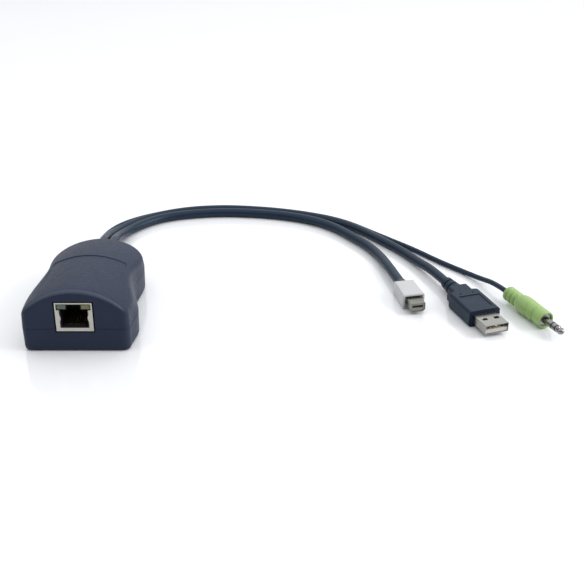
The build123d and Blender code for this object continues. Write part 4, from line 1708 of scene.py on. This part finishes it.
@dataclass
class UsbPlug(Plug):
    """The dark USB plug with its ringed relief."""

    x: float = 185.5
    behind: float = -57.5
    heading: float = 19.3
    height: float = 4.05
    tongue_drop: float = -0.05
    contact_front: float = -10.7
    contact_places: tuple[float, ...] = (-3.5, -1.0, 1.0, 3.5)

    def contacts(self) -> Piece:
        """Four flat contacts on the tongue.

        Returns:
            The contacts as one object.
        """
        base = self.height + self.tongue_drop
        blade = settle(eased(box("blade", (-0.5, 0.0, -0.02), (0.5, 7.4, 0.15)), 0.05))
        places = [(x, self.contact_front, base, 0.0) for x in self.contact_places]
        return self.lay(spots("usb_contacts", blade, PALETTE.gold, places))

    def build(self) -> list[Piece]:
        """Build the plug's pieces.

        Returns:
            The pieces.
        """
        return [
            remake("usb_plug_body", "usb_grip", PALETTE.usb_grip, 0.14, GRIP_SHARP),
            remake("usb_plug_shell", "usb_shell", PALETTE.plug_metal, 0.07),
            remake("usb_plug_tongue", "usb_tongue", PALETTE.tongue, 0.1),
            dress(smooth(self.contacts()), PALETTE.gold, "usb_plug_contacts"),
        ]


@dataclass
class AudioPlug(Plug):
    """The green audio plug with its ringed grip and three-part pin."""

    x: float = 212.65
    behind: float = -60.18
    heading: float = 23.2
    height: float = 4.6
    length: float = 28.8
    rings: int = 3
    ring_pitch: float = 3.2
    grip: Profile = (
        (0.0, 0.0), (0.0, 3.14), (-1.55, 3.2), (-1.75, 3.35), (-1.8, 3.7), (-1.65, 4.0),
        (-1.3, 4.22), (0.3, 4.28), (3.0, 4.28), (3.5, 4.22), (3.8, 3.85), (4.1, 3.66),
        (4.6, 3.66), (4.9, 3.86), (5.2, 4.28), (7.0, 4.36), (8.4, 4.42), (8.75, 4.32),
        (9.05, 3.95), (9.4, 3.78), (9.8, 3.8), (10.1, 4.02), (10.45, 4.46), (12.0, 4.56),
        (13.4, 4.6), (15.0, 4.56), (16.2, 4.44), (17.2, 4.26), (18.0, 4.04), (18.6, 3.84),
        (19.0, 3.74))
    groove: Profile = (
        (0.0, 3.62), (0.25, 3.35), (0.5, 2.9), (0.85, 2.75), (1.2, 2.9), (1.45, 3.4),
        (1.7, 3.64), (2.3, 3.74), (2.9, 3.7))
    sleeve: Profile = (
        (0.0, 0.0), (0.0, 3.1), (-0.6, 3.1), (-0.8, 2.95), (-0.8, 1.75), (-6.98, 1.75),
        (-7.0, 1.73), (-7.0, 0.0))
    middle: Profile = (
        (-7.9, 0.0), (-7.9, 1.73), (-7.92, 1.75), (-9.88, 1.75), (-9.9, 1.73), (-9.9, 0.0))
    tip: Profile = (
        (-10.8, 0.0), (-10.8, 1.73), (-10.82, 1.75), (-11.0, 1.72), (-11.4, 1.45),
        (-11.8, 1.12), (-12.1, 1.18), (-12.6, 1.6), (-12.85, 1.73), (-13.1, 1.69),
        (-14.0, 1.29), (-14.5, 0.85), (-14.69, 0.5), (-14.77, 0.25), (-14.77, 0.0))
    band: Profile = ((0.0, 0.0), (0.0, 1.74), (0.9, 1.74), (0.9, 0.0))

    def grip_profile(self) -> Profile:
        """The grip's outline from its front to its rear.

        Returns:
            Points (along, radius).
        """
        profile = list(self.grip)
        start = self.length - self.rings * self.ring_pitch
        for index in range(self.rings):
            base = start + index * self.ring_pitch
            profile += [(base + along, radius) for along, radius in self.groove]
        profile += [(self.length - 0.15, 3.55), (self.length, 3.3), (self.length, 0.0)]
        return profile

    def build(self) -> list[Piece]:
        """Build the plug's pieces.

        Returns:
            The pieces.
        """
        band = turned("band", self.band, self.height, 64)
        bands = self.lay(row("pin_bands", band, PALETTE.insulator, 2, (0, -7.9, 0),
                             (0, -2.9, 0)))
        return [
            self.spun("audio_grip", self.grip_profile(), PALETTE.audio_grip, "audio_plug_body",
                      GRIP_SHARP, 96),
            self.spun("pin_sleeve", self.sleeve, PALETTE.chrome, "audio_plug_sleeve"),
            self.spun("pin_ring", self.middle, PALETTE.chrome, "audio_plug_ring"),
            self.spun("pin_tip", self.tip, PALETTE.chrome, "audio_plug_tip", GRIP_SHARP),
            dress(smooth(bands), PALETTE.insulator, "audio_plug_insulators"),
        ]


# Cables


@dataclass
class Cable:
    """A captive cable from the gland to its plug. Route in millimetres, behind the gland."""

    node: str
    name: str
    diameter: float
    length: float
    route: list[Point]
    plug: Plug
    rear: float
    last_run: float

    def build(self) -> None:
        """Build the plug, and then the cable as a smooth curve."""
        pieces = self.plug.build()
        heading = math.radians(self.plug.heading)
        back = Vector((-math.sin(heading), math.cos(heading), 0.0))
        end = Vector((self.plug.x, GLAND_Y + self.plug.behind, self.plug.height))
        end = end + back * self.rear
        points = [Vector((x, GLAND_Y + behind, height)) for x, behind, height in self.route]
        points += [end + back * self.last_run, end]
        curve = bpy.data.curves.new(self.name, "CURVE")
        curve.dimensions = "3D"
        line = curve.splines.new("NURBS")
        line.points.add(len(points) - 1)
        for spot, point in zip(line.points, points):
            spot.co = (*(point * MM), 1.0)
        line.order_u = 3
        line.use_endpoint_u = True
        line.resolution_u = 16
        curve.bevel_depth = self.diameter / 2 * MM
        curve.bevel_resolution = 9
        curve.use_fill_caps = True
        cable = bpy.data.objects.new(self.name, curve)
        bpy.context.scene.collection.objects.link(cable)
        dress(cable, PALETTE.cable, self.node)


@dataclass
class CableHarness:
    """The gland and the three cables with their plugs."""

    video: VideoPlug = field(default_factory=VideoPlug)
    usb: UsbPlug = field(default_factory=UsbPlug)
    audio: AudioPlug = field(default_factory=AudioPlug)

    def cables(self) -> list[Cable]:
        """The three cables, from the widest to the narrowest.

        Returns:
            The cables.
        """
        return [
            Cable("video_cable", "video_lead", 5.0, 271.6, [
                (2.9, -10.8, 12.6), (2.9, 9.6, 12.6), (1.4, 28.7, 6.8), (3.4, 45.5, 2.7),
                (11.6, 58.0, 2.5), (22.5, 67.8, 2.5), (39.2, 73.3, 2.5), (56.7, 75.5, 2.5),
                (75.0, 74.0, 2.5), (92.4, 70.2, 2.5), (107.6, 63.5, 2.5), (119.5, 53.6, 2.5),
                (128.4, 40.7, 2.5), (137.5, 26.5, 2.5), (142.9, 11.8, 2.7),
            ], self.video, 20.6, 16.6),
            Cable("usb_cable", "usb_lead", 4.6, 296.7, [
                (-2.7, -10.8, 12.6), (-2.7, 9.4, 12.6), (-3.9, 28.8, 7.2), (-1.8, 47.4, 2.5),
                (7.5, 61.7, 2.3), (20.6, 72.2, 2.3), (37.6, 79.3, 2.3), (56.7, 81.5, 2.3),
                (75.9, 79.3, 2.3), (93.9, 75.0, 2.3), (109.9, 68.8, 2.3), (123.1, 61.0, 2.3),
                (133.7, 50.4, 2.3), (143.4, 37.1, 2.3), (153.8, 22.5, 2.3), (160.9, 8.4, 2.5),
            ], self.usb, 38.5, 15.0),
            Cable("audio_cable", "audio_lead", 2.6, 333.4, [
                (0.1, -10.8, 8.4), (0.1, 8.4, 8.4), (-6.2, 25.0, 4.0), (-8.4, 41.8, 1.5),
                (-3.2, 57.4, 1.3), (7.4, 69.0, 1.3), (21.6, 77.8, 1.3), (38.6, 83.8, 1.3),
                (57.2, 85.5, 1.3), (76.6, 83.3, 1.3), (95.2, 79.0, 1.3), (112.8, 72.9, 1.3),
                (127.3, 63.3, 1.3), (139.2, 50.0, 1.3), (149.9, 38.0, 1.3),
                (161.4, 25.4, 1.3), (173.0, 10.0, 1.3), (183.0, -1.2, 1.3),
                (190.8, -11.8, 2.1),
            ], self.audio, 28.4, 12.1),
        ]

    def build(self) -> None:
        """Build the gland, the plugs and the cables."""
        remake("cable_gland", "gland", PALETTE.gland, 0.25)
        for cable in self.cables():
            cable.build()


# Studio


@dataclass
class Studio:
    """The pale floor, the soft lights and the camera of the photo."""

    camera_place: Point = (95.8, -448.9, 233.4)
    pitch: float = 26.55
    lens: float = 64.73
    floor_size: float = 6.0
    floor_drop: float = 0.05
    sky_colour: tuple[float, ...] = (0.96, 0.975, 1.0, 1.0)
    glow_from: Point = (0.10, 0.28, 0.955)
    glow_level: float = 1.45
    shade_level: float = 0.16
    glow_start: float = -0.15
    glow_end: float = 0.95
    lamps_aim: Point = (0.08, 0.0, 0.0)

    def floor(self) -> None:
        """Lay the floor."""
        half = self.floor_size / 2 / MM
        corners = [(x * half, y * half, -self.floor_drop)
                   for x, y in ((-1, -1), (1, -1), (1, 1), (-1, 1))]
        ground = new_piece("floor", corners, [(0, 1, 2, 3)])
        ground.data.materials.append(PaleFloor().make())

    def lamp(self, name: str, place: Point, size: float, power: float) -> None:
        """Hang one soft square light that points at the dongle.

        Args:
            name: Name of the light.
            place: Where it hangs, in metres.
            size: Length of its sides in metres.
            power: Power in watts.
        """
        data = bpy.data.lights.new(name, "AREA")
        data.shape = "SQUARE"
        data.size = size
        data.energy = power
        light = bpy.data.objects.new(name, data)
        light.location = place
        view = Vector(self.lamps_aim) - Vector(place)
        light.rotation_euler = view.to_track_quat("-Z", "Y").to_euler()
        bpy.context.scene.collection.objects.link(light)

    def sky(self) -> None:
        """Set the soft light of the room, bright overhead and behind, dim in front."""
        world = bpy.data.worlds.new("studio")
        world.use_nodes = True
        tree = NodeTree(world.node_tree)
        back = world.node_tree.nodes["Background"]
        back.inputs["Color"].default_value = self.sky_colour
        source = tree.node("ShaderNodeTexCoord")
        reach = tree.node("ShaderNodeVectorMath", operation="DOT_PRODUCT")
        reach.inputs[1].default_value = self.glow_from
        ramp = tree.node("ShaderNodeMapRange", {
            "From Min": self.glow_start, "From Max": self.glow_end,
            "To Min": self.shade_level, "To Max": self.glow_level,
        }, interpolation_type="SMOOTHSTEP")
        tree.link(source.outputs["Generated"], reach.inputs[0])
        tree.link(reach.outputs["Value"], ramp.inputs["Value"])
        tree.link(ramp.outputs["Result"], back.inputs["Strength"])
        bpy.context.scene.world = world
        bpy.context.scene.view_settings.view_transform = "Standard"

    def camera(self) -> None:
        """Place the camera at the photo's viewpoint."""
        data = bpy.data.cameras.new("photo_camera")
        data.lens = self.lens
        data.sensor_width = 36.0
        data.clip_start = 0.01
        view = bpy.data.objects.new("photo_camera", data)
        view.location = tuple(v * MM for v in self.camera_place)
        view.rotation_euler = (math.radians(90.0 - self.pitch), 0.0, 0.0)
        bpy.context.scene.collection.objects.link(view)
        bpy.context.scene.camera = view

    def build(self) -> None:
        """Build the studio."""
        self.camera()
        self.floor()
        self.sky()
        self.lamp("right_light", (1.0, -0.1, 0.5), 0.6, 6.5)
        self.lamp("left_light", (-0.9, -0.3, 0.6), 0.5, 1.5)


def main() -> None:
    """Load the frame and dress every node."""
    logging.basicConfig(level=logging.INFO, format="%(name)s: %(message)s")
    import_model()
    Studio().build()
    CableHarness().build()
    Pod().build()
    NetworkSocket().build()
    CircuitBoard().build()


if __name__ == "__main__":
    main()
